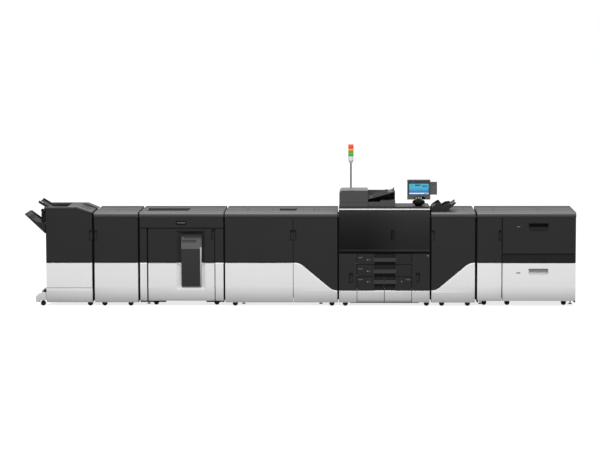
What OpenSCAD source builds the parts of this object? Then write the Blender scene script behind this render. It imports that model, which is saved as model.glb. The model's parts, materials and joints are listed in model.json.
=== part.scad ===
// Digital production printer: a row of seven docked floor units on casters.
// Left to right: finisher, relay unit, stacker, drying unit, print engine, bypass unit, paper feeder.
// Millimetres. +X runs along the row to the paper feeder, +Y to the rear, +Z up.
// The origin is on the floor, under the middle of the row.

/* [Row] */
// Depth of the row from the door fronts to the rear panels
row_depth = 900; // [840:10:1000]
// Height of the dark to light belt line on the fronts
belt_z = 526; // [440:2:580]
// Height of the low belt line on the print engine
low_belt_z = 192; // [170:2:250]
// Height of the top face of the unit lids
lid_z = 1132; // [1080:2:1180]
// Height of a lid's front band
lid_h = 60; // [44:2:80]
// Clear height under the door skirts
skirt_z = 45; // [38:1:56]

/* [Unit widths] */
// Width of the finisher
finisher_w = 560; // [500:4:640]
// Width of the relay unit
relay_w = 528; // [460:4:640]
// Width of the stacker
stacker_w = 1008; // [960:4:1120]
// Width of the drying unit
dryer_w = 1352; // [1320:4:1500]
// Width of the print engine
engine_w = 1092; // [1060:4:1200]
// Width of the bypass unit
bypass_w = 524; // [516:4:640]
// Width of the paper feeder
feeder_w = 1182; // [1100:4:1300]
// How far the stack tray reaches out from the finisher
tray_reach = 256; // [220:4:320]

/* [Gaps between units] */
// Between the finisher and the relay unit
finisher_gap = 24; // [16:1:30]
// Between the relay unit and the stacker
relay_gap = 20; // [16:1:30]
// Between the stacker and the drying unit
stacker_gap = 16; // [14:1:30]
// Between the drying unit and the print engine
dryer_gap = 16; // [14:1:30]
// Between the print engine and the bypass unit
engine_gap = 16; // [14:1:30]
// Between the bypass unit and the paper feeder
bypass_gap = 24; // [16:1:30]

/* [Doors] */
// Thickness of a front door
door_t = 44; // [40:1:52]
// Reveal between a front and the edge of its unit or the next front
reveal = 3; // [2:0.5:4]
// How far the rounded toe of the fronts sets back at the bottom
toe_set = 22; // [12:1:26]
// Height at which the toe starts to curve in
toe_z = 226; // [200:2:250]
// Half width and depth of the groove on the belt line
belt_groove = 12; // [6:1:14]
// Width of a finger grip in a door
grip_w = 36; // [30:1:44]
// Depth of a finger grip in a door
grip_d = 26; // [20:1:30]
// Height of a finger grip in a door
grip_h = 126; // [100:2:150]
// Height of the lower end of the finger grips
grip_z = 794; // [740:2:840]
// Radius of a hinge pin
pin_r = 4; // [3:0.5:5]

/* [Drawers] */
// How far a drawer front's grip bar stands out
bar_proud = 8; // [5:1:12]
// Depth of a paper cassette behind its front
cassette_d = 480; // [420:10:520]
// Depth of a feeder drawer behind its front
drawer_d = 660; // [560:10:700]
// Wall of a drawer's tray
tray_wall = 4; // [3:0.5:6]

/* [Top of the engine] */
// Depth of the scanner unit
scanner_d = 520; // [480:5:560]
// Height of the document feeder over the scanner
feeder_head_h = 192; // [170:2:210]
// Width of the operator console
console_w = 277; // [240:1:300]
// Height of the operator console
console_h = 238; // [210:1:260]
// Height of the top of the signal lamps
signal_z = 1910; // [1800:2:2000]

/* [Casters] */
// Radius of a caster wheel
wheel_r = 31; // [26:1:32]
// Width of a caster wheel
wheel_w = 20; // [16:1:24]

/* [Hidden] */
$fn = 64;

// Colours of the materials
dark = [0.19, 0.19, 0.19];
gloss_dark = [0.12, 0.12, 0.125];
light = [0.86, 0.86, 0.86];
lid_grey = [0.42, 0.42, 0.42];
steel_grey = [0.55, 0.56, 0.57];
black = [0.05, 0.05, 0.05];

// Clearances
back_gap = 10;     // behind a door
seat_gap = 0.3;    // under a moving piece that rests on another
run_gap = 6;       // beside a moving drawer
bore_gap = 0.05;   // round a hinge pin
eps = 1;           // overrun of a cut

// Row layout along X
row_l = tray_reach + finisher_w + finisher_gap + relay_w + relay_gap + stacker_w + stacker_gap
    + dryer_w + dryer_gap + engine_w + engine_gap + bypass_w + bypass_gap + feeder_w;
finisher_x = -row_l / 2 + tray_reach;
relay_x = finisher_x + finisher_w + finisher_gap;
stacker_x = relay_x + relay_w + relay_gap;
dryer_x = stacker_x + stacker_w + stacker_gap;
engine_x = dryer_x + dryer_w + dryer_gap;
bypass_x = engine_x + engine_w + engine_gap;
feeder_x = bypass_x + bypass_w + bypass_gap;

// Planes along Y, centred so that the grip bars and the rear panels are equally far out
y_front = -(row_depth - bar_proud) / 2;
y_rear = y_front + row_depth;
rear_t = 20;
cab_y0 = y_front + door_t + back_gap;
cab_y1 = y_rear - rear_t;
finisher_d = row_depth * 7 / 9;
finisher_y1 = y_front + finisher_d - rear_t;

// Planes along Z
cab_z0 = skirt_z - 2;
floor_pan_z = 98;
high_skirt_z = skirt_z + 20;
cab_skin = 20;
lid_z0 = lid_z - lid_h;
door_top_z = lid_z0 - 6;
lid_round = 24;
rear_lip = 4;

// Toe curve of the fronts: an arc that leaves the vertical face at toe_z
toe_drop = toe_z - skirt_z;
toe_r = (toe_drop * toe_drop + toe_set * toe_set) / (2 * toe_set);

// Hinges: the pin sits this far in from the front face and from the side edge
hinge_in = 14;
hinge_tab = 8;
hinge_half = 8;
hinge_slot_gap = 2;
pin_l = 40;
hinge_low_z = toe_z + 34;
hinge_high_z = door_top_z - 90;

// Belt sweep that drops to the low belt line beside the print engine
sweep_run = min((belt_z - low_belt_z) * 6 / 5, 400);
sweep_angle = atan2(belt_z - low_belt_z, sweep_run);
sweep_r = 150;
sweep_t = sweep_r * tan(sweep_angle / 2);
dryer_sweep_x = dryer_x + dryer_w - 4 - sweep_t - sweep_run;
bypass_sweep_x = bypass_x + 4 + sweep_t + sweep_run;

// ---------- shared shapes ----------

// A box between two corners
module block(x0, x1, y0, y1, z0, z1) {
    translate([x0, y0, z0]) cube([x1 - x0, y1 - y0, z1 - z0]);
}

// A (y, z) outline swept along X
module along_x(x0, x1) {
    translate([x0, 0, 0]) rotate([90, 0, 90]) linear_extrude(x1 - x0) children();
}

// An (x, z) outline swept along Y
module along_y(y0, y1) {
    translate([0, y1, 0]) rotate([90, 0, 0]) linear_extrude(y1 - y0) children();
}

// A rectangle between two corners
module rect(x0, x1, y0, y1) {
    translate([x0, y0]) square([x1 - x0, y1 - y0]);
}

// A rectangle whose top left and top right corners are rounded
module rect_round_top(x0, x1, z0, z1, r_left, r_right) {
    difference() {
        rect(x0, x1, z0, z1);
        if (r_left > 0) difference() {
            rect(x0 - eps, x0 + r_left, z1 - r_left, z1 + eps);
            translate([x0 + r_left, z1 - r_left]) circle(r = r_left);
        }
        if (r_right > 0) difference() {
            rect(x1 - r_right, x1 + eps, z1 - r_right, z1 + eps);
            translate([x1 - r_right, z1 - r_right]) circle(r = r_right);
        }
    }
}

// (y, z) section of a front, with the curved toe
module front_section(z0, z1) {
    intersection() {
        rect(y_front, y_front + door_t, z0, z1);
        union() {
            rect(y_front, y_front + door_t, toe_z, z1 + eps);
            translate([y_front + toe_r, toe_z]) circle(r = toe_r);
        }
    }
}

module front_slab(x0, x1, z0, z1) {
    along_x(x0, x1) front_section(z0, z1);
}

// V groove along a straight level belt line
module level_groove(x0, x1, z) {
    along_x(x0, x1) translate([y_front, z]) rotate(45) square(belt_groove * sqrt(2), center = true);
}

// ---------- belt sweep ----------
// Falls to the right from the corner at x = 0, level with belt_z; mirrored for the bypass unit.
sweep_steps = 6;

function sweep_path(x0, x1) = concat(
    [[min(x0, -sweep_t - 2), belt_z]],
    [for (k = [0:sweep_steps]) let (a = sweep_angle * k / sweep_steps)
        [-sweep_t + sweep_r * sin(a), belt_z - sweep_r + sweep_r * cos(a)]],
    [for (k = [0:sweep_steps]) let (a = sweep_angle * (1 - k / sweep_steps))
        [sweep_run + sweep_t - sweep_r * sin(a), low_belt_z + sweep_r - sweep_r * cos(a)]],
    [[max(x1, sweep_run + sweep_t + 2), low_belt_z]]
);

// Upward normal of one stretch of a path, and the mitred normal at one of its corners
function stretch_normal(path, i) = let (d = path[i + 1] - path[i]) [-d[1], d[0]] / norm(d);
function corner_normal(path, i) =
    let (last = len(path) - 1, a = stretch_normal(path, max(i - 1, 0)), b = stretch_normal(path, min(i, last - 1)))
    (a + b) / ((a + b) * a);

// The light area under the sweep
module sweep_light(x0, x1) {
    path = sweep_path(x0, x1);
    polygon(concat(path, [[path[len(path) - 1][0], 0], [path[0][0], 0]]));
}

// Wedge that bevels the front edge along the sweep: side 1 for the dark piece, -1 for the light one
module sweep_bevel(x0, x1, side) {
    path = sweep_path(x0, x1);
    n = len(path);
    over = 2;
    section = [
        [side * (belt_groove + over), -over], [-side * over, belt_groove + over], [-side * over, -over]
    ];
    points = [for (i = [0:n - 1]) let (m = corner_normal(path, i)) for (c = section)
        [path[i][0] + m[0] * c[0], y_front + c[1], path[i][1] + m[1] * c[0]]];
    sides = [for (i = [0:n - 2], j = [0:2]) let (a = 3 * i + j, b = 3 * i + (j + 1) % 3)
        for (t = [[a, b, b + 3], [a, b + 3, a + 3]]) side > 0 ? t : [t[2], t[1], t[0]]];
    ends = side > 0 ? [[2, 1, 0], [3 * n - 3, 3 * n - 2, 3 * n - 1]]
        : [[0, 1, 2], [3 * n - 1, 3 * n - 2, 3 * n - 3]];
    polyhedron(points, concat(sides, ends), convexity = 6);
}

// ---------- doors ----------
// A door is [left edge, right edge, bottom, top, hinge side (-1 left, 1 right)].

finisher_door = [finisher_x + reveal, finisher_x + finisher_w - reveal, toe_z - 2, door_top_z, -1];
relay_door = [relay_x + reveal, relay_x + relay_w - reveal, skirt_z, door_top_z, 1];
stacker_post_w = 88;
stacker_post_gap = 14;
stacker_band_h = 128;
stacker_door_top = lid_z0 - stacker_band_h - 6;
stacker_door = [
    stacker_x + stacker_post_w + stacker_post_gap, stacker_x + stacker_w - 106 - reveal,
    high_skirt_z, stacker_door_top, -1
];
dryer_split_x = dryer_x + dryer_w - 532;
dryer_left = [dryer_x + reveal, dryer_split_x - reveal, skirt_z, door_top_z, -1];
dryer_right = [dryer_split_x + reveal, dryer_x + dryer_w - reveal, skirt_z, door_top_z, 1];
engine_bay_w = 656;
engine_side_w = (engine_w - engine_bay_w) / 2;
engine_shelf_z = 648;
engine_top_z = lid_z + 22;
engine_low_z0 = low_belt_z + 4;
engine_low_z1 = engine_shelf_z - 12;
engine_left = [engine_x + reveal, engine_x + engine_side_w - reveal, engine_low_z0, engine_low_z1, -1];
engine_right = [
    engine_x + engine_w - engine_side_w + reveal, engine_x + engine_w - reveal,
    engine_low_z0, engine_low_z1, 1
];
engine_front = [engine_x + reveal, engine_x + engine_w - reveal, engine_shelf_z + 8, engine_top_z - 6, -1];
bypass_door = [bypass_x + reveal, bypass_x + bypass_w - reveal, skirt_z, door_top_z, 1];
feeder_post_w = 298;
feeder_door = [feeder_x + reveal, feeder_x + feeder_post_w - reveal, high_skirt_z, door_top_z, -1];

function hinge_x(door) = door[4] < 0 ? door[0] + hinge_in : door[1] - hinge_in;
hinge_y = y_front + hinge_in;

// Heights of the two hinges of each hinged front
door_hinge_list = [
    [finisher_door, hinge_low_z, hinge_high_z],
    [relay_door, hinge_low_z, hinge_high_z],
    [stacker_door, hinge_low_z, stacker_door_top - 90],
    [dryer_left, hinge_low_z, hinge_high_z],
    [dryer_right, hinge_low_z, hinge_high_z],
    [engine_front, engine_shelf_z + 70, engine_top_z - 90],
    [engine_left, hinge_low_z, engine_low_z1 - 70],
    [engine_right, hinge_low_z, engine_low_z1 - 70],
    [bypass_door, hinge_low_z, hinge_high_z],
    [feeder_door, hinge_low_z, hinge_high_z]
];

// Slot and pin bore that a door needs round one hinge tab
module hinge_cut(door, z) {
    side = door[4];
    x = hinge_x(door);
    inner = x - side * (hinge_half + hinge_slot_gap);
    outer = x + side * (hinge_in + eps);
    half = hinge_tab / 2 + hinge_slot_gap;
    block(min(inner, outer), max(inner, outer), hinge_y - hinge_half - hinge_slot_gap,
        y_front + door_t + eps, z - half, z + half);
    translate([x, hinge_y, z - pin_l / 2 - 1]) cylinder(r = pin_r + bore_gap, h = pin_l + 2);
}

module hinge_cuts(door) {
    for (entry = door_hinge_list)
        if (entry[0] == door)
            for (z = [entry[1], entry[2]]) hinge_cut(door, z);
}

// Finger grip cut into a front: its deep side is at x_deep, and it tapers out towards x_face
module grip_cut(x_deep, x_face, z0, z1) {
    taper = (x_face > x_deep ? -1 : 1) * 10;
    translate([0, 0, z0]) linear_extrude(z1 - z0) polygon([
        [x_deep, y_front - 20], [x_face, y_front - 20], [x_face, y_front],
        [x_face + taper, y_front + grip_d], [x_deep, y_front + grip_d]
    ]);
}

// Grip at a door's opening edge, open to that edge
module edge_grip(door) {
    free_edge = door[4] < 0 ? door[1] : door[0];
    grip_cut(free_edge - door[4] * eps, free_edge + door[4] * grip_w, grip_z, grip_z + grip_h);
}

// Grip set in from a door's opening edge
module inset_grip(door, inset, z0, h, w = grip_w) {
    free_edge = door[4] < 0 ? door[1] : door[0];
    deep = free_edge + door[4] * inset;
    grip_cut(deep, deep + door[4] * w, z0, z0 + h);
}

// Bevel on the inner edge of the opening side, so that a narrow door swings clear
module free_edge_relief(door) {
    free_edge = door[4] < 0 ? door[1] : door[0];
    side = door[4];
    translate([0, 0, door[2] - eps]) linear_extrude(door[3] - door[2] + 2 * eps) polygon([
        [free_edge - side * eps, y_front + door_t - 14], [free_edge - side * eps, y_front + door_t + eps],
        [free_edge + side * 6, y_front + door_t + eps]
    ]);
}

module plain_door_upper(door) {
    difference() {
        front_slab(door[0], door[1], belt_z, door[3]);
        level_groove(door[0] - eps, door[1] + eps, belt_z);
        hinge_cuts(door);
    }
}

module plain_door_lower(door) {
    difference() {
        front_slab(door[0], door[1], door[2], belt_z);
        level_groove(door[0] - eps, door[1] + eps, belt_z);
        hinge_cuts(door);
    }
}

// ---------- cabinets ----------

// A closed cabinet with an open underside for the casters
module cabinet_shell(x0, x1, y1, z1) {
    difference() {
        block(x0, x1, cab_y0, y1, cab_z0, z1);
        block(x0 + cab_skin, x1 - cab_skin, cab_y0 - eps, y1 - cab_skin, cab_z0 - eps, floor_pan_z);
        caster_notches();
    }
}

// Notches in the skins where a caster stands close to the side of its unit
module caster_notches() {
    room = wheel_r + 12;
    for (c = caster_list)
        block(c[0] - room, c[0] + room, c[1] - 26, c[1] + 26, cab_z0 - 2 * eps, floor_pan_z);
}

// ---------- finisher ----------

finisher_top_z = lid_z + 66;
finisher_low_top_z = lid_z + 6;
finisher_slope_x = finisher_x + finisher_w - 184;
finisher_cover_t = 18;
finisher_body_z = finisher_low_top_z - finisher_cover_t;
finisher_well_x = finisher_x + 216;
finisher_strip_d = 60;
finisher_well_h = 54;

// (x, z) outline of the finisher from z0 up to its sloped top, lowered by drop
module finisher_outline(z0, drop) {
    x1 = finisher_x + finisher_w;
    polygon([
        [finisher_x, z0], [x1, z0], [x1, finisher_low_top_z - drop],
        [finisher_slope_x, finisher_top_z - drop], [finisher_x, finisher_top_z - drop]
    ]);
}

// Well that catches the sheets of the top exit
module finisher_well() {
    translate([0, finisher_y1 - 60, 0]) rotate([90, 0, 0])
        linear_extrude(finisher_y1 - 60 - y_front - finisher_strip_d) polygon([
            [finisher_x - eps, finisher_top_z - finisher_well_h],
            [finisher_well_x, finisher_top_z - finisher_well_h + 12],
            [finisher_well_x + 44, finisher_top_z + eps], [finisher_x - eps, finisher_top_z + eps]
        ]);
}

module finisher_cabinet() {
    color(dark) difference() {
        union() {
            along_y(cab_y0, finisher_y1) finisher_outline(cab_z0, finisher_cover_t);
            for (y = finisher_guides_y)
                block(finisher_x - guide_proud, finisher_x + eps, y, y + guide_w, guide_z0, guide_z1);
        }
        block(finisher_x + cab_skin, finisher_x + finisher_w - cab_skin, cab_y0 - eps,
            finisher_y1 - cab_skin, cab_z0 - eps, floor_pan_z);
        caster_notches();
        finisher_well();
        // Mouth of the sheet exit over the stack tray
        block(finisher_x - eps, finisher_x + 26, tray_y0 + 40, tray_y1 - 40, tray_top_z + 12, tray_top_z + 40);
        for (y = finisher_guides_y) {
            c = y + guide_w / 2;
            block(finisher_x - guide_proud - eps, finisher_x + 40, c - tray_arm_w / 2 - seat_gap,
                c + tray_arm_w / 2 + seat_gap, tray_root_z - tray_travel, tray_top_z + 4);
        }
    }
}

// Side guides that the stack tray climbs
guide_proud = 8;
guide_w = 30;
guide_z0 = 320;
guide_z1 = 1024;
stack_tray_d = 560;
tray_y0 = y_front + 20;
tray_y1 = tray_y0 + stack_tray_d;
finisher_guides_y = [tray_y0 + 130, tray_y1 - 130 - guide_w];
tray_arm_w = 12;
tray_travel = 480;

module finisher_top_cover() {
    color(lid_grey) difference() {
        union() {
            along_y(y_front, finisher_y1 + rear_t) difference() {
                finisher_outline(finisher_body_z, 0);
                translate([0, -finisher_cover_t]) finisher_outline(finisher_body_z - 40, 0);
            }
            // Raised strip along the rear of the slope, which bridges the gap to the relay unit
            along_y(y_front + 512, finisher_y1 + rear_t) polygon([
                [finisher_slope_x, finisher_top_z - finisher_cover_t / 2], [finisher_slope_x, finisher_top_z],
                [finisher_slope_x + 67, finisher_top_z], [relay_x, finisher_low_top_z + 4],
                [relay_x, finisher_low_top_z - 2], [finisher_x + finisher_w - 4, finisher_low_top_z - 2],
                [finisher_x + finisher_w - 4, finisher_low_top_z - finisher_cover_t / 2]
            ]);
        }
        finisher_well();
        // Two shallow dents, and a long groove at the foot of the raised rear strip
        for (k = [0:2]) translate([finisher_slope_x + (k < 2 ? 40 : 2), y_front + (k < 2 ? 150 + 130 * k : 492),
            finisher_top_z - (k < 2 ? 13 : 1)])
            rotate([0, atan2(finisher_top_z - finisher_low_top_z, 184), 0])
                translate([0, 0, k < 2 ? -4 : -8]) cube([k < 2 ? 110 : 176, k < 2 ? 70 : 16, 40]);
    }
}

module finisher_door_upper() {
    color(dark) difference() {
        intersection() {
            plain_door_upper([finisher_door[0], finisher_door[1], finisher_door[2], finisher_top_z, -1]);
            along_y(y_front - eps, y_front + door_t + eps) finisher_outline(belt_z - 50, finisher_cover_t + 6);
        }
        hinge_cuts(finisher_door);
        edge_grip(finisher_door);
    }
}

module finisher_door_lower() {
    color(light) plain_door_lower(finisher_door);
}

// Sheet rest over the top exit: a sloping plate with turned-up sides
top_tray_y0 = y_front + 76;
top_tray_d = 410;
top_tray_angle = 31;
top_tray_l = 170;
module finisher_top_tray() {
    color(dark) difference() {
        translate([finisher_x + 50, top_tray_y0, finisher_top_z - 40]) rotate([0, top_tray_angle, 0])
            translate([-top_tray_l, 0, 0]) difference() {
                cube([top_tray_l + 70, top_tray_d, 30]);
                translate([-eps, 18, 12]) cube([top_tray_l + 70 + 2 * eps, top_tray_d - 36, 40]);
                // Notch in the end, for taking out the sheets
                translate([-eps, 145, -eps]) cube([46, 120, 40]);
            }
        // Foot of the plate, level with the floor of the well
        along_y(top_tray_y0 - eps, top_tray_y0 + top_tray_d + eps) polygon([
            [finisher_x - eps, finisher_top_z - 140], [finisher_well_x, finisher_top_z - 140],
            [finisher_well_x, finisher_top_z - finisher_well_h + 12 + seat_gap],
            [finisher_x - eps, finisher_top_z - finisher_well_h + seat_gap]
        ]);
    }
}

// Wedge-shaped stack tray that climbs the side guides
tray_root_z = 878;
tray_tip_z = 1112;
tray_top_z = 1006;
module finisher_stack_tray() {
    x0 = finisher_x - tray_reach;
    x1 = finisher_x - guide_proud - seat_gap;
    side_t = 22;
    color(dark) for (y = finisher_guides_y)
        block(x1 - eps, finisher_x + 34, y + (guide_w - tray_arm_w) / 2, y + (guide_w + tray_arm_w) / 2,
            tray_root_z + 10, tray_top_z - 30);
    color(dark) difference() {
        along_y(tray_y0, tray_y1) polygon([
            [x1, tray_root_z], [x1, tray_top_z + 8], [x0 + 152, tray_top_z + 8], [x0 + 20, tray_tip_z - 2],
            [x0, tray_tip_z]
        ]);
        // Sheet bed between the raised side walls
        along_y(tray_y0 + side_t, tray_y1 - side_t) polygon([
            [x1 + eps, tray_top_z - 34], [x1 + eps, tray_tip_z + 60], [x0 + 26, tray_tip_z + 60],
            [x0 + 20, tray_tip_z - 14], [x1 - 90, tray_top_z - 22]
        ]);
    }
}

// Sheet stops at the exit, and the knob over the outrigger
paddle_w = 60;
module finisher_fittings() {
    color(black) {
        for (y = [tray_y0 + 30, tray_y1 - 190 - paddle_w])
            along_y(y, y + paddle_w) translate([finisher_x, finisher_body_z]) polygon([
                [0, -58], [-12, -58], [-40, -34], [-60, 38], [-58, 46], [-48, 50], [-32, 48], [-26, 40],
                [-18, 4], [0, -14]
            ]);
        translate([finisher_x - 26, cab_y0 + 40, outrigger_top_z - 20]) cylinder(r = 12, h = 36);
        translate([finisher_x - 26, cab_y0 + 40, outrigger_top_z + 16]) cylinder(r1 = 16, r2 = 12, h = 26);
    }
}

// Outrigger hoods over the casters on the tray side
outrigger_top_z = 150;
outrigger_pan_z = 2 * wheel_r + 8;
outrigger_w = 96;
module finisher_outrigger() {
    color(light) for (y = [cab_y0 - 30, finisher_y1 - 4 - outrigger_w]) difference() {
        along_y(y, y + outrigger_w) polygon([
            [finisher_x - 130, skirt_z], [finisher_x, skirt_z], [finisher_x, outrigger_top_z + 14],
            [finisher_x - 26, outrigger_top_z + 10], [finisher_x - 100, outrigger_top_z - 6],
            [finisher_x - 130, outrigger_top_z - 34]
        ]);
        block(outrigger_x - 42, finisher_x + eps, y - eps, y + outrigger_w + eps,
            skirt_z - eps, outrigger_pan_z);
        translate([finisher_x - 26, cab_y0 + 40, outrigger_top_z - 20 - seat_gap])
            cylinder(r = 12 + seat_gap, h = 60);
    }
}

// ---------- relay unit ----------

module relay_cabinet() {
    color(dark) cabinet_shell(relay_x, relay_x + relay_w, cab_y1, lid_z0);
}

module relay_door_upper() {
    color(dark) difference() {
        plain_door_upper(relay_door);
        edge_grip(relay_door);
    }
}

module relay_door_lower() {
    color(light) plain_door_lower(relay_door);
}

// ---------- stacker ----------

module stacker_cabinet() {
    color(dark) cabinet_shell(stacker_x, stacker_x + stacker_w, cab_y1, lid_z0 - seat_gap);
}

// Column recess in the stacker's door
column_x0 = stacker_door[0] + 398;
column_x1 = column_x0 + 243;
column_z0 = 244;
column_z1 = stacker_door_top - 78;
dish_d = 28;
module column_dish() {
    hull() {
        block(column_x0 - 64, column_x1 + 46, y_front - 2, y_front, column_z0 - 48, column_z1 + 52);
        block(column_x0 - 20, column_x1 + 10, y_front, y_front + dish_d, column_z0 - 2, column_z1 + 16);
    }
}

module stacker_door_upper() {
    color(dark) difference() {
        plain_door_upper(stacker_door);
        column_dish();
        inset_grip(stacker_door, 0, stacker_door_top - grip_h - 8, grip_h);
    }
}

module stacker_door_lower() {
    color(light) difference() {
        plain_door_lower(stacker_door);
        column_dish();
    }
}

// Upright grip column that stands in the dish
column_strip_w = 17;
column_head_h = 140;
module stacker_column() {
    color(gloss_dark) difference() {
        block(column_x0, column_x1, y_front - 2, y_front + dish_d, column_z0, column_z1);
        // Slot across the head
        block(column_x0 - eps, column_x1 - 56, y_front - 3, y_front + 8, column_z1 - 68, column_z1 - 57);
        // Step beside the face, below the head
        block(column_x1 - column_strip_w, column_x1 + eps, y_front - 3, y_front + 4,
            column_z0 - eps, column_z1 - column_head_h);
        // The face below the head lies slightly deeper
        block(column_x0 - eps, column_x1 - column_strip_w + eps, y_front - 3, y_front,
            column_z0 - eps, column_z1 - column_head_h);
    }
}

// Lid section with a rounded front edge
module lid_bar(x0, x1) {
    along_x(x0, x1) rect_round_top(y_front, cab_y1, lid_z0, lid_z, lid_round, 0);
}

// Shallow well in a lid, narrower towards the front
module lid_well(x0, x1, y0, y1, depth) {
    flare = 14;
    translate([0, 0, lid_z - depth]) linear_extrude(depth + eps)
        polygon([[x0 + flare, y0], [x1 - flare, y0], [x1, y1], [x0, y1]]);
}

// Narrow groove across a lid
module lid_groove(x) {
    block(x, x + 3, y_front + 120, cab_y1 - 180, lid_z - 3, lid_z + eps);
}

// The hood turns on two pins along X, at the centre of its rounded rear edge
hood_r = 14;
hood_gap = 6;
hood_y1 = cab_y1 - hood_gap;
hood_pin_y = hood_y1 - hood_r;
hood_pin_z = lid_z - hood_r;
hood_hinge_x = [stacker_x + 120, stacker_x + stacker_w - 120];
module rear_slot(x, pin_y, pin_z) {
    block(x - 8, x + 8, pin_y - 10, pin_y + 60, pin_z - 10, pin_z + 60);
    translate([x - 21, pin_y, pin_z]) rotate([0, 90, 0]) cylinder(r = pin_r + bore_gap, h = 42);
}
module rear_pin(x, pin_y, pin_z, tab_y1) {
    block(x - 5, x + 5, pin_y, tab_y1, pin_z - 7, pin_z + 7);
    translate([x - 5, pin_y, pin_z]) rotate([0, 90, 0]) cylinder(r = 7, h = 10);
    translate([x - 20, pin_y, pin_z]) rotate([0, 90, 0]) cylinder(r = pin_r, h = 40);
}

module stacker_lid() {
    color(lid_grey) difference() {
        along_x(stacker_x, stacker_x + stacker_w) difference() {
            rect_round_top(y_front, hood_y1, lid_z0, lid_z, lid_round, hood_r);
            polygon([[hood_y1 - 30, lid_z0 - eps], [hood_y1 + eps, lid_z0 - eps], [hood_y1 + eps, lid_z0 + 14]]);
        }
        for (x = hood_hinge_x) rear_slot(x, hood_pin_y, hood_pin_z);
        lid_well(stacker_x + 66, stacker_x + 580, y_front + 250, y_front + 610, 44);
        translate([stacker_x + 46, y_front + 300, lid_z - 12]) cylinder(r = 12, h = 13);
    }
}

latch_x = stacker_x + 500;
latch_w = 126;
module stacker_hood_front() {
    z0 = lid_z0 - stacker_band_h;
    color(dark) difference() {
        front_slab(stacker_x + reveal, stacker_x + stacker_w - reveal, z0, lid_z0);
        level_groove(stacker_x, stacker_x + stacker_w, lid_z0);
        block(latch_x - latch_w / 2, latch_x + latch_w / 2, y_front - eps, y_front + 24, z0 + 40, z0 + 84);
    }
}

// ---------- drying unit ----------

module dryer_cabinet() {
    color(dark) cabinet_shell(dryer_x, dryer_x + dryer_w, cab_y1, lid_z0);
}

module dryer_left_door_upper() {
    color(dark) difference() {
        plain_door_upper(dryer_left);
        edge_grip(dryer_left);
    }
}

module dryer_left_door_lower() {
    color(light) plain_door_lower(dryer_left);
}

// The dryer's sweep in place
module dryer_sweep() {
    translate([dryer_sweep_x, 0, 0]) children();
}

module dryer_right_door_upper() {
    color(dark) difference() {
        front_slab(dryer_right[0], dryer_right[1], skirt_z, door_top_z);
        dryer_sweep() {
            along_y(y_front - eps, y_front + door_t + eps)
                sweep_light(dryer_right[0] - dryer_sweep_x - eps, dryer_right[1] - dryer_sweep_x + eps);
            sweep_bevel(dryer_right[0] - dryer_sweep_x - eps, dryer_right[1] - dryer_sweep_x + eps, 1);
        }
        hinge_cuts(dryer_right);
        edge_grip(dryer_right);
    }
}

module dryer_right_door_lower() {
    color(light) difference() {
        intersection() {
            front_slab(dryer_right[0], dryer_right[1], skirt_z, belt_z);
            dryer_sweep() along_y(y_front - eps, y_front + door_t + eps)
                sweep_light(dryer_right[0] - dryer_sweep_x - eps, dryer_right[1] - dryer_sweep_x + eps);
        }
        dryer_sweep()
            sweep_bevel(dryer_right[0] - dryer_sweep_x - eps, dryer_right[1] - dryer_sweep_x + eps, -1);
        hinge_cuts(dryer_right);
    }
}

// ---------- print engine ----------

bay_x0 = engine_x + engine_side_w;
bay_x1 = bay_x0 + engine_bay_w;
bay_mid_x = (bay_x0 + bay_x1) / 2;
bay_d = cassette_d + 20;
bay_top_z = engine_low_z1 + 4;

module engine_cabinet() {
    color(dark) difference() {
        cabinet_shell(engine_x, engine_x + engine_w, cab_y1, engine_top_z);
        block(bay_x0 - 14, bay_x1 + 14, cab_y0 - eps, cab_y0 + bay_d, low_belt_z, bay_top_z);
    }
}

cover_proud = 5;
cover_bottom_z = engine_front[2];
module engine_cover() {
    door = engine_front;
    grip_x = engine_x + 625;
    color(gloss_dark) difference() {
        union() {
            front_slab(door[0], door[1], door[2], door[3]);
            block(door[0] + 26, door[1] - 8, y_front - cover_proud, y_front + eps, door[2] + 8, door[3] - 8);
        }
        hinge_cuts(door);
        // Vertical grip
        grip_cut(grip_x + 38, grip_x, engine_shelf_z + 148, engine_shelf_z + 274);
    }
}

module engine_left_door() {
    color(dark) difference() {
        front_slab(engine_left[0], engine_left[1], engine_left[2], engine_left[3]);
        hinge_cuts(engine_left);
        free_edge_relief(engine_left);
        inset_grip(engine_left, 44, low_belt_z + 90, 124, 48);
    }
}

module engine_right_door() {
    color(dark) difference() {
        front_slab(engine_right[0], engine_right[1], engine_right[2], engine_right[3]);
        hinge_cuts(engine_right);
        free_edge_relief(engine_right);
        inset_grip(engine_right, 46, low_belt_z + 98, 116, 48);
    }
}

trim_z0 = engine_top_z + 6;
trim_z1 = engine_top_z + 30;
trim_d = 30;
module engine_trim() {
    color(light) along_x(engine_x + 2, engine_x + engine_w - 2)
        rect_round_top(y_front - 2, y_front + trim_d, trim_z0, trim_z1, 6, 0);
}

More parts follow.
